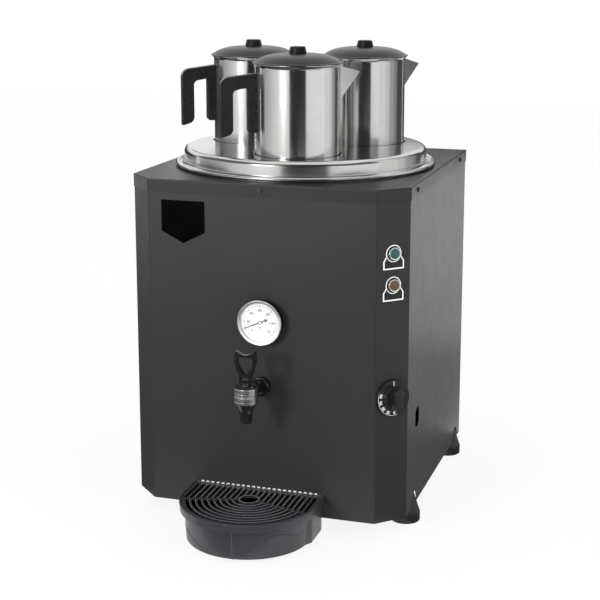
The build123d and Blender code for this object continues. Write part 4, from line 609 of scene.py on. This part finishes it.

# ---- Teapots ----
# Drawn stainless bodies with a flared lip, a folded beak over strainer holes, a black moulded
# handle, and a satin lid with a moulded knob, its steel painted dark. All three are alike.

POT_RADIUS = 0.0655
RIM = 0.709
BODY_PROFILE = [
    (0, SEAT_TOP), (POT_RADIUS, SEAT_TOP, 0.006), (POT_RADIUS, 0.704, 0.006), (0.068, 0.708, 0.0006),
    (0.068, RIM, 0.0004), (0.0671, RIM, 0.0004), (0.0646, 0.704, 0.006), (0.0646, 0.5579, 0.005),
    (0, 0.5579),
]
LID_PROFILE = [
    (0, 0.724), (0.013, 0.7238), (0.026, 0.7233), (0.034, 0.7226), (0.0415, 0.7216), (0.048, 0.7202),
    (0.054, 0.7183), (0.0595, 0.7159), (0.0640, 0.7133), (0.0675, 0.7110), (0.0705, 0.7101, 0.0006),
    (0.0705, RIM, 0.0005), (0.0666, RIM), (0.0666, 0.7105), (0.0624, 0.7132), (0.0624, 0.701, 0.0004),
    (0.0614, 0.701, 0.0004), (0.0614, 0.7138), (0.054, 0.7173), (0.0415, 0.7206), (0.026, 0.7224),
    (0, 0.7231),
]
KNOB_PROFILE = [
    (0, 0.7237), (0.0135, 0.7237), (0.0135, 0.7257, 0.0007), (0.0115, 0.7338, 0.0014), (0.004, 0.7334),
    (0, 0.7333),
]
BEAK_SLOPE = atan2(0.010, 0.037)
BEAK_TOP = Vector((POT_RADIUS, 0, 0.703))
BEAK_DEPTH = 0.058
STRAINER_SPOTS = [(across, height) for across in (-0.007, 0, 0.007) for height in (0.6795, 0.6865)]
HANDLE_OUTLINE = [
    (0.0595, 0.695), (0.121, 0.687), (0.121, 0.5955), (0.101, 0.6015), (0.101, 0.668), (0.079, 0.672),
    (0.079, 0.603), (0.0595, 0.603),
]
HANDLE_CORNERS = {1: 0.012, 2: 0.002, 3: 0.008, 4: 0.006, 5: 0.003, 6: 0.005}


def round_corner(bm, spot, radius):
    """Round the upright corner of a slab that stands at a spot."""
    edges = [
        edge for edge in bm.edges
        if upright(edge) and (edge.verts[0].co.xy - Vector(spot)).length < 1e-5
    ]
    bmesh.ops.bevel(
        bm, geom=edges, offset=radius, segments=6, profile=0.5, affect="EDGES", material=-1
    )


def hull(points):
    """Closed solid stretched over a few points."""
    bm = bmesh.new()
    for point in points:
        bm.verts.new(point)
    bmesh.ops.convex_hull(bm, input=bm.verts)
    return bm


def beak_wedge(root, half, tip, rise, foot_rise, foot_half, foot_tip):
    """Three-cornered wedge that hangs from the beak's sloping mouth down to the wall."""
    along = Vector((cos(BEAK_SLOPE), 0, -sin(BEAK_SLOPE)))
    normal = Vector((sin(BEAK_SLOPE), 0, cos(BEAK_SLOPE)))
    mouth = BEAK_TOP + normal * rise
    foot = BEAK_TOP + UP * (foot_rise - BEAK_DEPTH)
    return hull([
        mouth - along * root + Vector((0, half, 0)), mouth - along * root - Vector((0, half, 0)),
        mouth + along * tip, foot + Vector((-0.0022, foot_half, 0)),
        foot + Vector((-0.0022, -foot_half, 0)), foot + Vector((foot_tip, 0, 0)),
    ])


def beak():
    """Folded sheet beak, open above and cut to the round wall."""
    outside = beak_wedge(0.006, 0.025, 0.0383, 0, 0, 0.001, 0.0008)
    round_edges(outside, 0.0012, segments=3, where=lambda e: all(abs(v.co.y) < 1e-6 for v in e.verts))
    inside = beak_wedge(0.007, 0.024, 0.0359, 0.001, 0.005, 0.0006, 0.0002)
    return cut(cut(outside, inside), disc(POT_RADIUS - 0.0004, 0.6, 0.75, sides=128))


def pot_handle(spot, turn):
    """Upside-down U whose inner leg is hollowed to lie on the body."""
    grip = slab(HANDLE_OUTLINE, -0.008, 0.008)
    for index, radius in HANDLE_CORNERS.items():
        round_corner(grip, HANDLE_OUTLINE[index], radius)
    round_edges(grip, 0.0028, segments=4, least=50, where=lambda e: not upright(e))
    facing = Vector((sin(turn), -cos(turn), 0))
    move_to(grip, spot, facing)
    return cut(grip, disc(POT_RADIUS - 0.0001, 0.58, 0.72, spot.xy, sides=128))


handle_black = plastic("handle black", (0.013, 0.013, 0.0135), 0.26, bump=0.08)
knob_skin = plastic("lid knob black", (0.008, 0.008, 0.0085), 0.45, bump=0.08, Specular_IOR_Level=0.3)
for word, (_, beak_heading, handle_heading) in POTS.items():
    spot = POT_SPOTS[word]
    turn = radians(beak_heading)
    pot_steel = brushed(
        f"{word} pot steel", (0.71, 0.70, 0.69), 0.13, spot, lines=1100.0, depth=0.05, bump=0.03,
        Anisotropic=0.5, Anisotropic_Rotation=0.25
    )
    # The beak takes the bowl's steel in a lighter colour and a rougher finish: the lighter colour is painted
    # light on the beak.
    lit_beak_steel = brushed(f"{word} beak steel painted lighter", (0.85, 0.84, 0.83), 0.3, spot, lines=900.0, bump=0.03)
    # The lid's steel is coloured far darker than steel: painted shade standing for the dark surroundings
    # mirrored in its dome.
    darkened_lid_steel = brushed(
        f"{word} lid steel painted dark", (0.056, 0.056, 0.058), 0.3, spot, lines=700.0, depth=0.08, bump=0.04
    )
    facing = (cos(turn), sin(turn), 0)
    body = turned(BODY_PROFILE, spot, steps=128, start=facing)
    holes = [move_to(disc(0.0022, 0.05, 0.07, hole, sides=16), spot, facing) for hole in STRAINER_SPOTS]
    piece(cut(body, *holes), f"{word}_pot_bowl", pot_steel, f"{word}_pot", "pot_steel",
          f"{word}_pot_body", crease=30)
    folded = beak()
    bmesh.ops.transform(
        folded, matrix=Matrix.Translation(spot) @ Matrix.Rotation(turn, 4, "Z"), verts=folded.verts
    )
    piece(folded, f"{word}_pot_beak", lit_beak_steel, f"{word}_pot", "pot_steel", f"{word}_pot_body", crease=25)
    piece(pot_handle(spot, radians(handle_heading)), f"{word}_pot_grip", handle_black, f"{word}_pot",
          "handle_black", f"{word}_pot_handle", crease=40)
    piece(turned(LID_PROFILE, spot, steps=128), f"{word}_pot_cover", darkened_lid_steel, f"{word}_pot_lid",
          "lid_steel", f"{word}_pot_lid", crease=14)
    piece(turned(KNOB_PROFILE, spot, steps=48), f"{word}_lid_knob", knob_skin, f"{word}_pot_lid",
          "handle_black", f"{word}_pot_knob", crease=40)

# ---- Thermometer ----
# Bimetal dial thermometer: pressed case, polished rolled bezel, flat glass and a printed white dial
# with plain numbers. The needle turns on the stem's axis.

GAUGE = Vector((GAUGE_X, FRONT_Y, GAUGE_Z))
PRINT_OUT = 0.0128
INK = 0.00008
SCALE_RADIUS = 0.0262
FIGURE_RADIUS = 0.0186
NEEDLE_LEVELS = (0.0135, 0.014)
NEEDLE_REST = radians(203.5)
polished = metal("polished bezel", (0.93, 0.93, 0.93), 0.42, size=30.0, bump=0.02)
# The bezel's outer side and the case are coloured near-black though the bezel is polished: painted shade for
# the dark reflection and shadow along that side.
gauge_dark_side = plastic("gauge case and bezel side dark", (0.006, 0.006, 0.006), 0.5, bump=0.05, Specular_IOR_Level=0.3)
piece(turned([
    (0.0325, 0.0155), (0.035, 0.0155, 0.0004), (0.035, 0.0172, 0.0008), (0.0340, 0.018, 0.0004),
    (0.0305, 0.0174, 0.0006), (0.0305, 0.016), (0.0325, 0.016), (0.0325, 0.0155),
], GAUGE, OUT, steps=96), "gauge_bezel_ring", polished, "cabinet", "chrome", "gauge_bezel", crease=35)
piece(turned([(0.0325, 0.009), (0.0346, 0.009, 0.0005), (0.0346, 0.0156), (0.0325, 0.0156), (0.0325, 0.009)],
             GAUGE, OUT, steps=96), "gauge_bezel_skirt", gauge_dark_side, "cabinet", "chrome", "gauge_bezel")
dress(gauge_dark_side, "gauge_case")
pane = plastic("gauge pane", (0.9, 0.94, 0.94), 0.04, bump=0.0, Alpha=0.06)
piece(turned([(0, 0.0146), (0.0318, 0.0146), (0.0318, 0.016, 0.0003), (0, 0.016)], GAUGE, OUT, steps=96),
      "gauge_pane", pane, "cabinet", "gauge_glass", "gauge_glass")
dial_print = plastic("dial white", (0.93, 0.94, 0.94), 0.42, grain=900.0, bump=0.03)
dress(dial_print, "gauge_dial")


def ring(inner, outer, low, high, steps=72):
    """Flat washer between two heights."""
    return turned([(inner, low), (outer, low), (outer, high), (inner, high), (inner, low)], steps=steps)


def lettering(text, size, low, depth, place=(0, 0), turn=0.0):
    """Raised figures centred on a place, made from type and then solid mesh."""
    type_curve = bpy.data.curves.new("figures", "FONT")
    type_curve.body = text
    type_curve.size = size
    type_curve.align_x = "CENTER"
    type_curve.align_y = "CENTER"
    type_curve.extrude = depth / 2
    type_curve.offset = 0.00012
    type_curve.resolution_u = 4
    holder = place_in_scene("figures", type_curve)
    bpy.context.view_layer.update()
    mesh = bpy.data.meshes.new_from_object(holder.evaluated_get(bpy.context.evaluated_depsgraph_get()))
    bm = bmesh.new()
    bm.from_mesh(mesh)
    bpy.data.objects.remove(holder)
    bpy.data.curves.remove(type_curve)
    bpy.data.meshes.remove(mesh)
    bmesh.ops.remove_doubles(bm, verts=bm.verts, dist=1e-7)
    bmesh.ops.transform(
        bm, verts=bm.verts,
        matrix=Matrix.Translation((place[0], place[1], low + depth / 2)) @ Matrix.Rotation(turn, 4, "Z"),
    )
    return bm


def dial_heading(value):
    """Angle on the dial of a temperature from 0 to 120."""
    return radians(225 - value * 2.25)


def dial_mark(value, inner, outer, width):
    """One tick of the dial's scale."""
    tick = block(outer - inner, width, 0, INK, ((inner + outer) / 2, 0))
    turn_flat(tick, dial_heading(value))
    return tick


marks = [ring(0.0260, 0.0263, 0, INK)]
for value in range(0, 121, 4):
    major = value % 20 == 0
    inner, width = (0.0228, 0.001) if major else (0.0246, 0.0005)
    marks.append(dial_mark(value, inner, SCALE_RADIUS, width))
for value in range(0, 121, 20):
    heading = dial_heading(value)
    place = (FIGURE_RADIUS * cos(heading), FIGURE_RADIUS * sin(heading))
    marks.append(lettering(str(value), 0.0064, 0, INK, place))
marks.append(lettering("°C", 0.005, 0, INK, (0, -0.0092)))
dial_black = plastic("dial ink", (0.03, 0.03, 0.034), 0.5, bump=0.02)
piece(move_to(join(*marks), GAUGE + OUT * PRINT_OUT, OUT), "gauge_figures", dial_black, "cabinet",
      "needle_black")
dial_red = plastic("dial red", (0.45, 0.03, 0.03), 0.5, bump=0.02)
limits = [dial_mark(value, 0.0266, 0.0282, 0.0005) for value in (106, 110, 114, 118)]
piece(move_to(join(*limits), GAUGE + OUT * PRINT_OUT, OUT), "gauge_limit_marks", dial_red, "cabinet",
      "needle_black")
NEEDLE = [
    (0.027, 0.00015), (0.0255, 0.0011), (0.0242, 0.0007), (0.0028, 0.0010), (0.0028, -0.0010),
    (0.0242, -0.0007), (0.0255, -0.0011), (0.027, -0.00015),
]
TAIL = [(-0.0028, 0.0009), (-0.0085, 0.0010), (-0.0092, 0.0026), (-0.014, 0.0003),
        (-0.014, -0.0003), (-0.0092, -0.0026), (-0.0085, -0.0010), (-0.0028, -0.0009)]
needle = join(slab(NEEDLE, *NEEDLE_LEVELS), slab(TAIL, *NEEDLE_LEVELS),
              ring(0.0019, 0.003, *NEEDLE_LEVELS), disc(0.0007, 0.0045, 0.0137, sides=16))
turn_flat(needle, NEEDLE_REST)
piece(move_to(needle, GAUGE, OUT), "gauge_pointer", dial_black, "gauge_needle", "needle_black",
      "gauge_needle")
piece(move_to(disc(0.0019, 0.0135, 0.01385, sides=32), GAUGE, OUT), "gauge_hub", dial_print, "gauge_needle",
      "dial_white", "gauge_needle")

# ---- Tap ----
# Lever tap moulded in glossy black nylon: a plated collar on a tapering spout, a screwed shank with
# a round panel nut, and a lyre-shaped lever pinned to a block on the bonnet.

TAP_Y = FRONT_Y - 0.068
TAP = Vector((0, TAP_Y, 0))
SHANK = Vector((0, FRONT_Y, TAP_Z))
tap_black = plastic("tap black", (0.009, 0.009, 0.0095), 0.15, grain=1400.0, bump=0.05)
collar_plate = metal("collar plating", (0.9, 0.9, 0.91), 0.2, bump=0.03)
spout = turned([
    (0.0058, 0.2215), (0.0058, 0.191), (0.00875, 0.191, 0.0008), (0.0094, 0.2085, 0.025), (0.0163, 0.2215),
    (0.0100, 0.2215), (0.0058, 0.2215),
], TAP, steps=72)
collar = turned([
    (0.0100, 0.2215), (0.0163, 0.2215), (0.0178, 0.2225, 0.0008), (0.0178, 0.2255), (0.0174, 0.2258),
    (0.0178, 0.2261), (0.0178, 0.2330, 0.0008), (0.0163, 0.2337), (0.0163, 0.2347),
    (0.0178, 0.2354, 0.0008), (0.0178, 0.2385), (0.0174, 0.2388), (0.0178, 0.2391),
    (0.0178, 0.246, 0.0008), (0.0100, 0.246), (0.0100, 0.2215),
], TAP, steps=72)
piece(collar, "tap_collar", collar_plate, "cabinet", "chrome", "tap_body", crease=32)
shank = turned([
    (0, -0.052), (0.008, -0.052), (0.008, 0.03), (0.0091, 0.03, 0.0006), (0.0115, 0.055), (0, 0.055),
], SHANK, OUT, steps=48)
piece(join(spout, shank), "tap_spout", tap_black, "cabinet", "tap_black", "tap_body", crease=32)
panel_nut = turned([
    (0.008, 0), (0.0155, 0), (0.0155, 0.01, 0.0028), (0.0125, 0.0098, 0.0006), (0.0105, 0.0085),
    (0.008, 0.0085), (0.008, 0),
], SHANK, OUT, steps=64)
piece(panel_nut, "tap_panel_nut", tap_black, "cabinet", "tap_black", "tap_nut", crease=35)
bonnet = turned([
    (0.0033, 0.242), (0.0099, 0.242), (0.0099, 0.2461), (0.0168, 0.2461), (0.0168, 0.2486, 0.0014),
    (0.0125, 0.25, 0.001), (0.0033, 0.25), (0.0033, 0.242),
], TAP, steps=64)
pin_block = block(0.012, 0.008, 0.2496, 0.259, (0, TAP_Y))
round_edges(pin_block, 0.0009, segments=3)
pin_block = cut(pin_block, disc(0.0033, 0.24, 0.2588, (0, TAP_Y), sides=32))
piece(join(bonnet, pin_block), "tap_bonnet_cap", tap_black, "cabinet", "tap_black", "tap_bonnet", crease=35)


def cad_copy(name):
    """Mesh of a CAD node with its loose triangles merged into whole faces."""
    bm = bmesh.new()
    bm.from_mesh(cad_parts[name].data)
    bmesh.ops.remove_doubles(bm, verts=bm.verts, dist=2e-6)
    bmesh.ops.dissolve_limit(bm, angle_limit=radians(1), verts=bm.verts, edges=bm.edges)
    return bm


lever = cad_copy("tap_lever")
round_edges(lever, 0.0011, segments=3, least=60)
piece(lever, "tap_lever_loop", tap_black, "tap_lever", "tap_black", "tap_lever", crease=40)
washer_red = plastic("silicone", (0.45, 0.16, 0.12), 0.5)
dress(washer_red, "tap_washer", "valve_cup")

# ---- Lamps ----
# Two neon pilot lamps on the corner face: moulded lens in a bright bezel over a printed label, with
# a clipped barrel behind. The labels' words are left out.

bezel_bright = metal("lamp bezel", (0.85, 0.85, 0.86), 0.14, bump=0.03)
print_white = plastic("label white", (0.92, 0.93, 0.93), 0.35, bump=0.03)
print_black = plastic("label black", (0.008, 0.008, 0.009), 0.3, bump=0.03)
HOUSE = [(-0.0175, -0.0235), (0.0175, -0.0235), (0.0175, -0.011), (0.0120, -0.003), (-0.0120, -0.003),
         (-0.0175, -0.011)]
FIELD = [(-0.0155, -0.0215), (0.0155, -0.0215), (0.0155, -0.0115), (0.0110, -0.004), (-0.0110, -0.004),
         (-0.0155, -0.0115)]
housing = plastic("lamp housing", (0.6, 0.6, 0.57), 0.45)
dress(housing, "lamp_bodies")
plates, fields, bezels = [], [], []
for height in LAMP_HEIGHTS:
    centre = CORNER_MIDDLE + UP * height
    plate = [cut(slab(HOUSE, 0, 0.0005), disc(0.0125, -0.001, 0.001)), ring(0.0061, 0.0130, 0, 0.0005)]
    field = [
        cut(slab(FIELD, 0.0003, 0.0006), disc(0.0130, -0.001, 0.001)),
        ring(0.0061, 0.0116, 0.0003, 0.0006),
    ]
    bezel = turned([(0.0073, 0.0006), (0.0098, 0.0006), (0.0098, 0.005, 0.001), (0.0073, 0.0046, 0.0004),
                    (0.0073, 0.0006)], steps=48)
    plates.append(move_to(join(*plate), centre, CORNER_OUT))
    fields.append(move_to(join(*field), centre, CORNER_OUT))
    bezels.append(move_to(bezel, centre, CORNER_OUT))
piece(join(*plates), "lamp_label_plates", print_white, "cabinet", "dial_white", "lamp_labels")
piece(join(*fields), "lamp_label_fields", print_black, "cabinet", "label_black", "lamp_labels")
piece(join(*bezels), "lamp_bezel_rings", bezel_bright, "cabinet", "chrome", "lamp_bezels", crease=40)
LENS = [(0, 0.0006), (0.0072, 0.0006), (0.0072, 0.0076, 0.0022), (0.0042, 0.0071, 0.0005), (0.0036, 0.0062),
        (0.0012, 0.0062), (0, 0.0071)]
for word, height, slot, colour in (
    ("power", LAMP_HEIGHTS[0], "lens_green", (0.015, 0.085, 0.085)),
    ("heating", LAMP_HEIGHTS[1], "lens_amber", (0.11, 0.055, 0.015)),
):
    tint = plastic(f"{word} lens", colour, 0.1, grain=500.0, Coat_Weight=0.6)
    piece(turned(LENS, CORNER_MIDDLE + UP * height, CORNER_OUT, steps=40), f"{word}_lamp_lens", tint,
          "cabinet", slot, f"{word}_lens", crease=45)

# ---- Thermostat knob ----
# Moulded skirt and bar grip pushed on the spindle, with a white index line and hot-foiled figures
# round the skirt.

KNOB = CORNER_MIDDLE + UP * KNOB_Z
knob_black = plastic("knob black", (0.012, 0.012, 0.0125), 0.22, bump=0.06)
dress(housing, "thermostat_body")
SKIRT_TOP = 0.0062
GRIP_TOP = 0.0232
GRIP_TAPER = (0.78, 0.9, 1)
FOIL_TOP = SKIRT_TOP + 0.0001
FIGURES_OUT = 0.0226
skirt = turned([(0, 0.0022), (0.028, 0.0022, 0.0004), (0.0272, SKIRT_TOP, 0.0008), (0.0185, SKIRT_TOP),
                (0.0174, 0.0092, 0.0008), (0, 0.0092)], steps=96)
bar = block(0.016, 0.037, SKIRT_TOP, GRIP_TOP)
round_edges(bar, 0.0075, segments=8, where=upright)
bmesh.ops.scale(bar, vec=GRIP_TAPER, verts=[v for v in bar.verts if v.co.z > 0.02])
round_edges(bar, 0.0012, segments=3, least=50, where=above(0.02))
knob = [cut(shell, disc(0.003, 0.0, 0.014, sides=32)) for shell in (skirt, bar)]
piece(move_to(join(*knob), KNOB, CORNER_OUT), "thermostat_grip", knob_black, "knob", "knob_black",
      "thermostat_knob", crease=35)
foil = [block(0.0011, 0.0075, SKIRT_TOP, FOIL_TOP, (0, 0.0228))]
for index, figures in enumerate(("90", "70", "50", "30", "0")):
    heading = radians(165 + 27 * index)
    place = (FIGURES_OUT * cos(heading), FIGURES_OUT * sin(heading))
    foil.append(lettering(figures, 0.0062, SKIRT_TOP, 0.0001, place, heading - pi / 2))
ARC_GAP = [(0, 0), (-0.05, 0.016), (-0.05, 0.05), (0.05, 0.05), (0.05, -0.05), (0.012, -0.05)]
foil.append(cut(ring(0.0264, 0.0268, SKIRT_TOP, FOIL_TOP, steps=96), slab(ARC_GAP, 0, 0.01)))
piece(move_to(join(*foil), KNOB, CORNER_OUT), "knob_figures", print_white, "knob", "dial_white")

# ---- Supply ----
# Nylon cable gland with its nut in the back panel, and a screw terminal block on the base pan.

gland_nylon = plastic("gland nylon", (0.016, 0.016, 0.017), 0.4)
dress(gland_nylon, "cable_gland", "gland_nut")
dress(housing, "terminal_block")

# ---- Drip tray ----
# Moulded D-shaped tray hooked into the front sheet, with a stepped rim and a grille resting in it.
# Charcoal plastic with a slight violet cast and a fine satin grain.

tray_plastic = plastic("tray plastic", (0.038, 0.036, 0.043), 0.34, grain=1600.0, bump=0.12)
tray = cad_copy("drip_tray")
round_edges(tray, 0.001, segments=3, least=35)
piece(tray, "tray_shell", tray_plastic, "drip_tray", "tray_plastic", "drip_tray", crease=30)
grille_plastic = plastic("grille plastic", (0.030, 0.029, 0.034), 0.26, grain=1600.0)
grille = cad_copy("drip_grille")
round_edges(grille, 0.0006, segments=2, least=50, where=lambda e: not upright(e))
piece(grille, "grille_bars", grille_plastic, "drip_grille", "grille_plastic", "drip_grille", crease=40)

# Light lines along the upper edges of the grille's ribs and bars are painted highlights, standing for the
# light those edges catch.
TRAY_Y = FRONT_Y - 0.046
GRILLE_TOP = 0.0615
HUB_RADIUS = 0.018
FIRST_RIB = 0.0232
RIB_PITCH = 0.0092
BAR_PITCH = 0.0087
BAR_END = 0.0365
SPOKE_SLOPE = tan(radians(15))
EDGE_HIGHLIGHT_HEIGHTS = (-0.0003, 0.00015)
BACK_HALF = [
    (-0.1, -0.003), (-0.0965, -0.0285), (0, -0.0025), (0.0965, -0.0285), (0.1, -0.003), (0.1, 0.1),
    (-0.1, 0.1),
]
rib_edge_highlight = plastic("rib edge painted highlight", (0.24, 0.24, 0.245), 0.3)
arcs = join(*[
    ring(inner + 0.0026, inner + 0.0032, *EDGE_HIGHLIGHT_HEIGHTS)
    for inner in (FIRST_RIB + RIB_PITCH * index for index in range(8))
])
lines = [ring(0.0144, 0.0153, *EDGE_HIGHLIGHT_HEIGHTS), cut(arcs, slab(BACK_HALF, *THROUGH))]
for index in range(-11, 11):
    across = BAR_PITCH * (index + 0.5)
    near = 0.0025 - abs(across) * SPOKE_SLOPE
    if abs(across) < HUB_RADIUS:
        near = sqrt(HUB_RADIUS ** 2 - across ** 2)
    if abs(across) < 0.088:
        middle = (across + 0.0011, (near + BAR_END) / 2)
        lines.append(block(0.0007, BAR_END - near, *EDGE_HIGHLIGHT_HEIGHTS, middle))
edge_lines = join(*lines)
bmesh.ops.translate(edge_lines, vec=(TRAY_X, TRAY_Y, GRILLE_TOP), verts=edge_lines.verts)
piece(edge_lines, "grille_edge_lines", rib_edge_highlight, "drip_grille", "grille_plastic")

# Short bright dashes along the tray's rim at the panel are painted highlights, standing for glints on the
# slots' back ends.
DASH_PITCH = 0.0084
dashes = [
    block(0.0047, 0.0018, 0.0626, 0.0645, (TRAY_X + DASH_PITCH * index, FRONT_Y - 0.0016))
    for index in range(-11, 12)
]
glint_dash_paint = plastic("painted glint dashes", (0.85, 0.85, 0.85), 0.3)
piece(join(*dashes), "tray_rim_glint_dashes", glint_dash_paint, "drip_tray", "tray_plastic")

# A parting rib runs down the wall's front, and two low arches are moulded beside it.
WALL_RADIUS = 0.096
WALL_MIDDLE = 0.097
WALL_FLARE = 0.002
WALL_FOOT = 0.006
WALL_RISE = 0.044
BURIED = -0.0004


def wall_spot(heading, height, out):
    """Point at a distance out of the tray's wall, at a bearing and a height."""
    radius = WALL_RADIUS + WALL_FLARE * (height - WALL_FOOT) / WALL_RISE + out
    return Vector((TRAY_X + radius * cos(heading), TRAY_Y + radius * sin(heading), height))


def wall_strip(route, width, out):
    """Raised strip that follows a route of bearings and heights over the wall."""
    bm = bmesh.new()
    rows = []
    for index, (heading, height) in enumerate(route):
        here = min(index, len(route) - 2)
        ahead, high = route[here + 1]
        along = Vector(((ahead - route[here][0]) * WALL_MIDDLE, high - route[here][1])).normalized()
        side_turn, side_rise = -along.y * width / 2 / WALL_MIDDLE, along.x * width / 2
        rows.append([bm.verts.new(wall_spot(*spot)) for spot in (
            (heading + side_turn, height + side_rise, BURIED), (heading, height, out),
            (heading - side_turn, height - side_rise, BURIED),
        )])
    for near, far in zip(rows, rows[1:]):
        for a, b in ((0, 1), (1, 2), (2, 0)):
            bm.faces.new((near[a], near[b], far[b], far[a]))
    bm.faces.new(rows[0])
    bm.faces.new(rows[-1])
    return bm


def arch(*spots):
    """Route over the wall through headings in degrees and heights, filled in evenly."""
    route = []
    for (heading, height), (ahead, high) in zip(spots, spots[1:]):
        for index in range(5):
            route.append((radians(heading + (ahead - heading) * index / 5),
                          height + (high - height) * index / 5))
    return route + [(radians(spots[-1][0]), spots[-1][1])]


RIB_TURN = radians(-85)
ARCH_ROUTES = [
    arch((-75.5, 0.0068), (-71.5, 0.0135), (-67, 0.0225), (-61, 0.032), (-56, 0.0372), (-50, 0.0402),
         (-44, 0.0405), (-36.5, 0.0385), (-28, 0.0335), (-20.5, 0.027)),
    arch((-108, 0.008), (-120, 0.014), (-135, 0.0215), (-154.5, 0.0285)),
]
rib = wall_strip([(RIB_TURN, 0.0062 + 0.0437 * index / 12) for index in range(13)], 0.005, 0.0016)
arches = [wall_strip(route, 0.0018, 0.0006) for route in ARCH_ROUTES]
piece(join(rib, *arches), "tray_wall_ribs", tray_plastic, "drip_tray", "tray_plastic", crease=25)

# ---- Studio ----
# Pale floor, white surroundings and two soft lamps. The grey cards that shape the steel and the satin
# sheets are seen by glossy finishes alone.


def seen_straight(tree):
    """One where the camera sees a surface straight, in a mirror or through glass, else zero."""
    path = node(tree, "LightPath").outputs
    total = path["Is Camera Ray"]
    for name in ("Is Glossy Ray", "Is Transmission Ray"):
        total = maths(tree, "MAXIMUM", total, path[name])
    return total


def glow_material(name, level):
    """Material that gives out an even light, with its tree and its glow."""
    made = bpy.data.materials.new(name)
    made.use_nodes = True
    glow = node(made.node_tree, "Emission", {"Color": (level, level, level, 1), "Strength": 1.0})
    return made, made.node_tree, glow.outputs["Emission"]


world = bpy.data.worlds.new("studio")
bpy.context.scene.world = world
world.use_nodes = True
sky = world.node_tree.nodes["Background"]
level = ranged(world.node_tree, seen_straight(world.node_tree), 0.0, 1.0, 0.92, 1.0)
sky.inputs["Color"].default_value = (1, 1, 1, 1)
world.node_tree.links.new(level, sky.inputs["Strength"])

floor_mesh = bmesh.new()
bmesh.ops.create_grid(floor_mesh, x_segments=1, y_segments=1, size=6.0)
floor_data = bpy.data.meshes.new("floor")
floor_mesh.to_mesh(floor_data)
floor_mesh.free()
floor = place_in_scene("floor", floor_data)
paper, tree, glow = glow_material("white paper", 1)
matt = tree.nodes["Principled BSDF"]
matt.inputs["Base Color"].default_value = (0.97, 0.97, 0.97, 1)
matt.inputs["Roughness"].default_value = 0.9
share = maths(tree, "MULTIPLY", seen_straight(tree), 0.88)
mix = node(tree, "MixShader", {0: share, 1: matt.outputs["BSDF"], 2: glow})
tree.links.new(mix.outputs["Shader"], tree.nodes["Material Output"].inputs["Surface"])
floor_data.materials.append(paper)


def lamp(name, place, aim, size, power, glossy=True):
    """Square area lamp turned at a point."""
    data = bpy.data.lights.new(name, "AREA")
    data.size = size
    data.energy = power
    made = place_in_scene(name, data)
    made.location = place
    made.rotation_euler = (Vector(aim) - Vector(place)).to_track_quat("-Z", "Y").to_euler()
    made.visible_glossy = glossy


OVER_FLOOR = 0.002


def card(name, corners, level):
    """Grey card that only the glossy finishes see."""
    mesh = bpy.data.meshes.new(name)
    mesh.from_pydata(corners, [], [(0, 1, 2, 3)])
    made = place_in_scene(name, mesh)
    grey, tree, glow = glow_material(name, level)
    tree.links.new(glow, tree.nodes["Material Output"].inputs["Surface"])
    mesh.materials.append(grey)
    for kind in ("camera", "diffuse", "shadow", "transmission"):
        setattr(made, f"visible_{kind}", False)


def upright_card(name, one, other, low, high, level):
    """Card standing between two points of the plan, which are given from the tank's middle."""
    corners = ((one, low), (other, low), (other, high), (one, high))
    card(name, [Vector((x, TANK_Y + y, z)) for (x, y), z in corners], level)


def standing(name, first, last, distance, low, high, level):
    """Card facing the object between two bearings round the tank."""
    middle, half = radians((first + last) / 2), radians((last - first) / 2)
    ends = [
        (distance * (cos(middle) - side * sin(middle) * tan(half)),
         distance * (sin(middle) + side * cos(middle) * tan(half))) for side in (-1, 1)
    ]
    upright_card(name, *ends, low, high, level)


def floor_card(name, left, right, near, far, level):
    """Grey card lying just over the floor."""
    corners = ((left, near), (right, near), (right, far), (left, far))
    card(name, [(x, y, OVER_FLOOR) for x, y in corners], level)


SKY_DISTANCE = 1.9
SIDE_DISTANCE = 1.6
POT_CARD = (0.75, 0.46, 0.68)
standing("camera side card", -93, -53, 1.25, 0.37, 1.3, 0.03)
for word, first, level in (("ahead", -112, 0.12), ("left", -192, 0.15), ("right", -32, 0.15)):
    standing(f"high card {word}", first, first + 80, SKY_DISTANCE, 0.80, 2.6, level)
LEFT_BEARINGS = (176, 194, 206, 217, 227, 237)
for first, last, level in zip(LEFT_BEARINGS, LEFT_BEARINGS[1:], (0.40, 0.50, 0.63, 0.76, 0.88)):
    standing(f"left card {first}", first, last, SIDE_DISTANCE, 0.30, 0.75, level)
standing("far left card", 129, 176, *POT_CARD, 0.05)
RIGHT_DEPTHS = (-0.12, -0.02, 0.035, 0.10, 0.16, 0.45)
for near, far, level in zip(RIGHT_DEPTHS, RIGHT_DEPTHS[1:], (0.84, 0.7, 0.42, 0.28, 0.08)):
    upright_card(f"right card {near}", (0.33, near), (0.33, far), 0.50, 0.74, level)
standing("far right card", 60, 104, *POT_CARD, 0.08)
for name, *edges, level in (
    ("front floor card", -1.6, 0.24, -3.0, -0.32, 0.10),
    ("right near card", 0.24, 0.75, -3.0, -0.12, 0.04),
    ("right far card", 0.75, 2.6, -3.0, -0.12, 0.5),
    ("left floor card", -2.2, -0.24, -0.32, 1.2, 0.12),
    ("side near card", 0.222, 0.9, -0.12, 0.35, 0.13),
    ("side middle card", 0.26, 0.9, 0.35, 0.95, 0.32),
    ("side far card", 0.26, 0.9, 0.95, 1.7, 0.8),
):
    floor_card(name, *edges, level)
lamp("key lamp", (-1.1, -2.8, 1.1), (0, 0, 0.35), 0.6, 40)
lamp("right lamp", (2.4, -1.0, 1.5), (0, 0, 0.45), 0.7, 14, glossy=False)

camera_data = bpy.data.cameras.new("camera")
camera = place_in_scene("camera", camera_data)
right = Vector((0.9532, 0.3022, 0))
up = Vector((-0.0611, 0.1928, 0.9793))
camera.matrix_world = Matrix.Translation((0.6805, -2.1131, 0.8807)) @ Matrix(
    (right, up, right.cross(up))
).transposed().to_4x4()
camera_data.sensor_width = 36
camera_data.lens = 84.774
camera_data.shift_y = -0.1
bpy.context.scene.camera = camera
bpy.context.scene.view_settings.view_transform = "Standard"
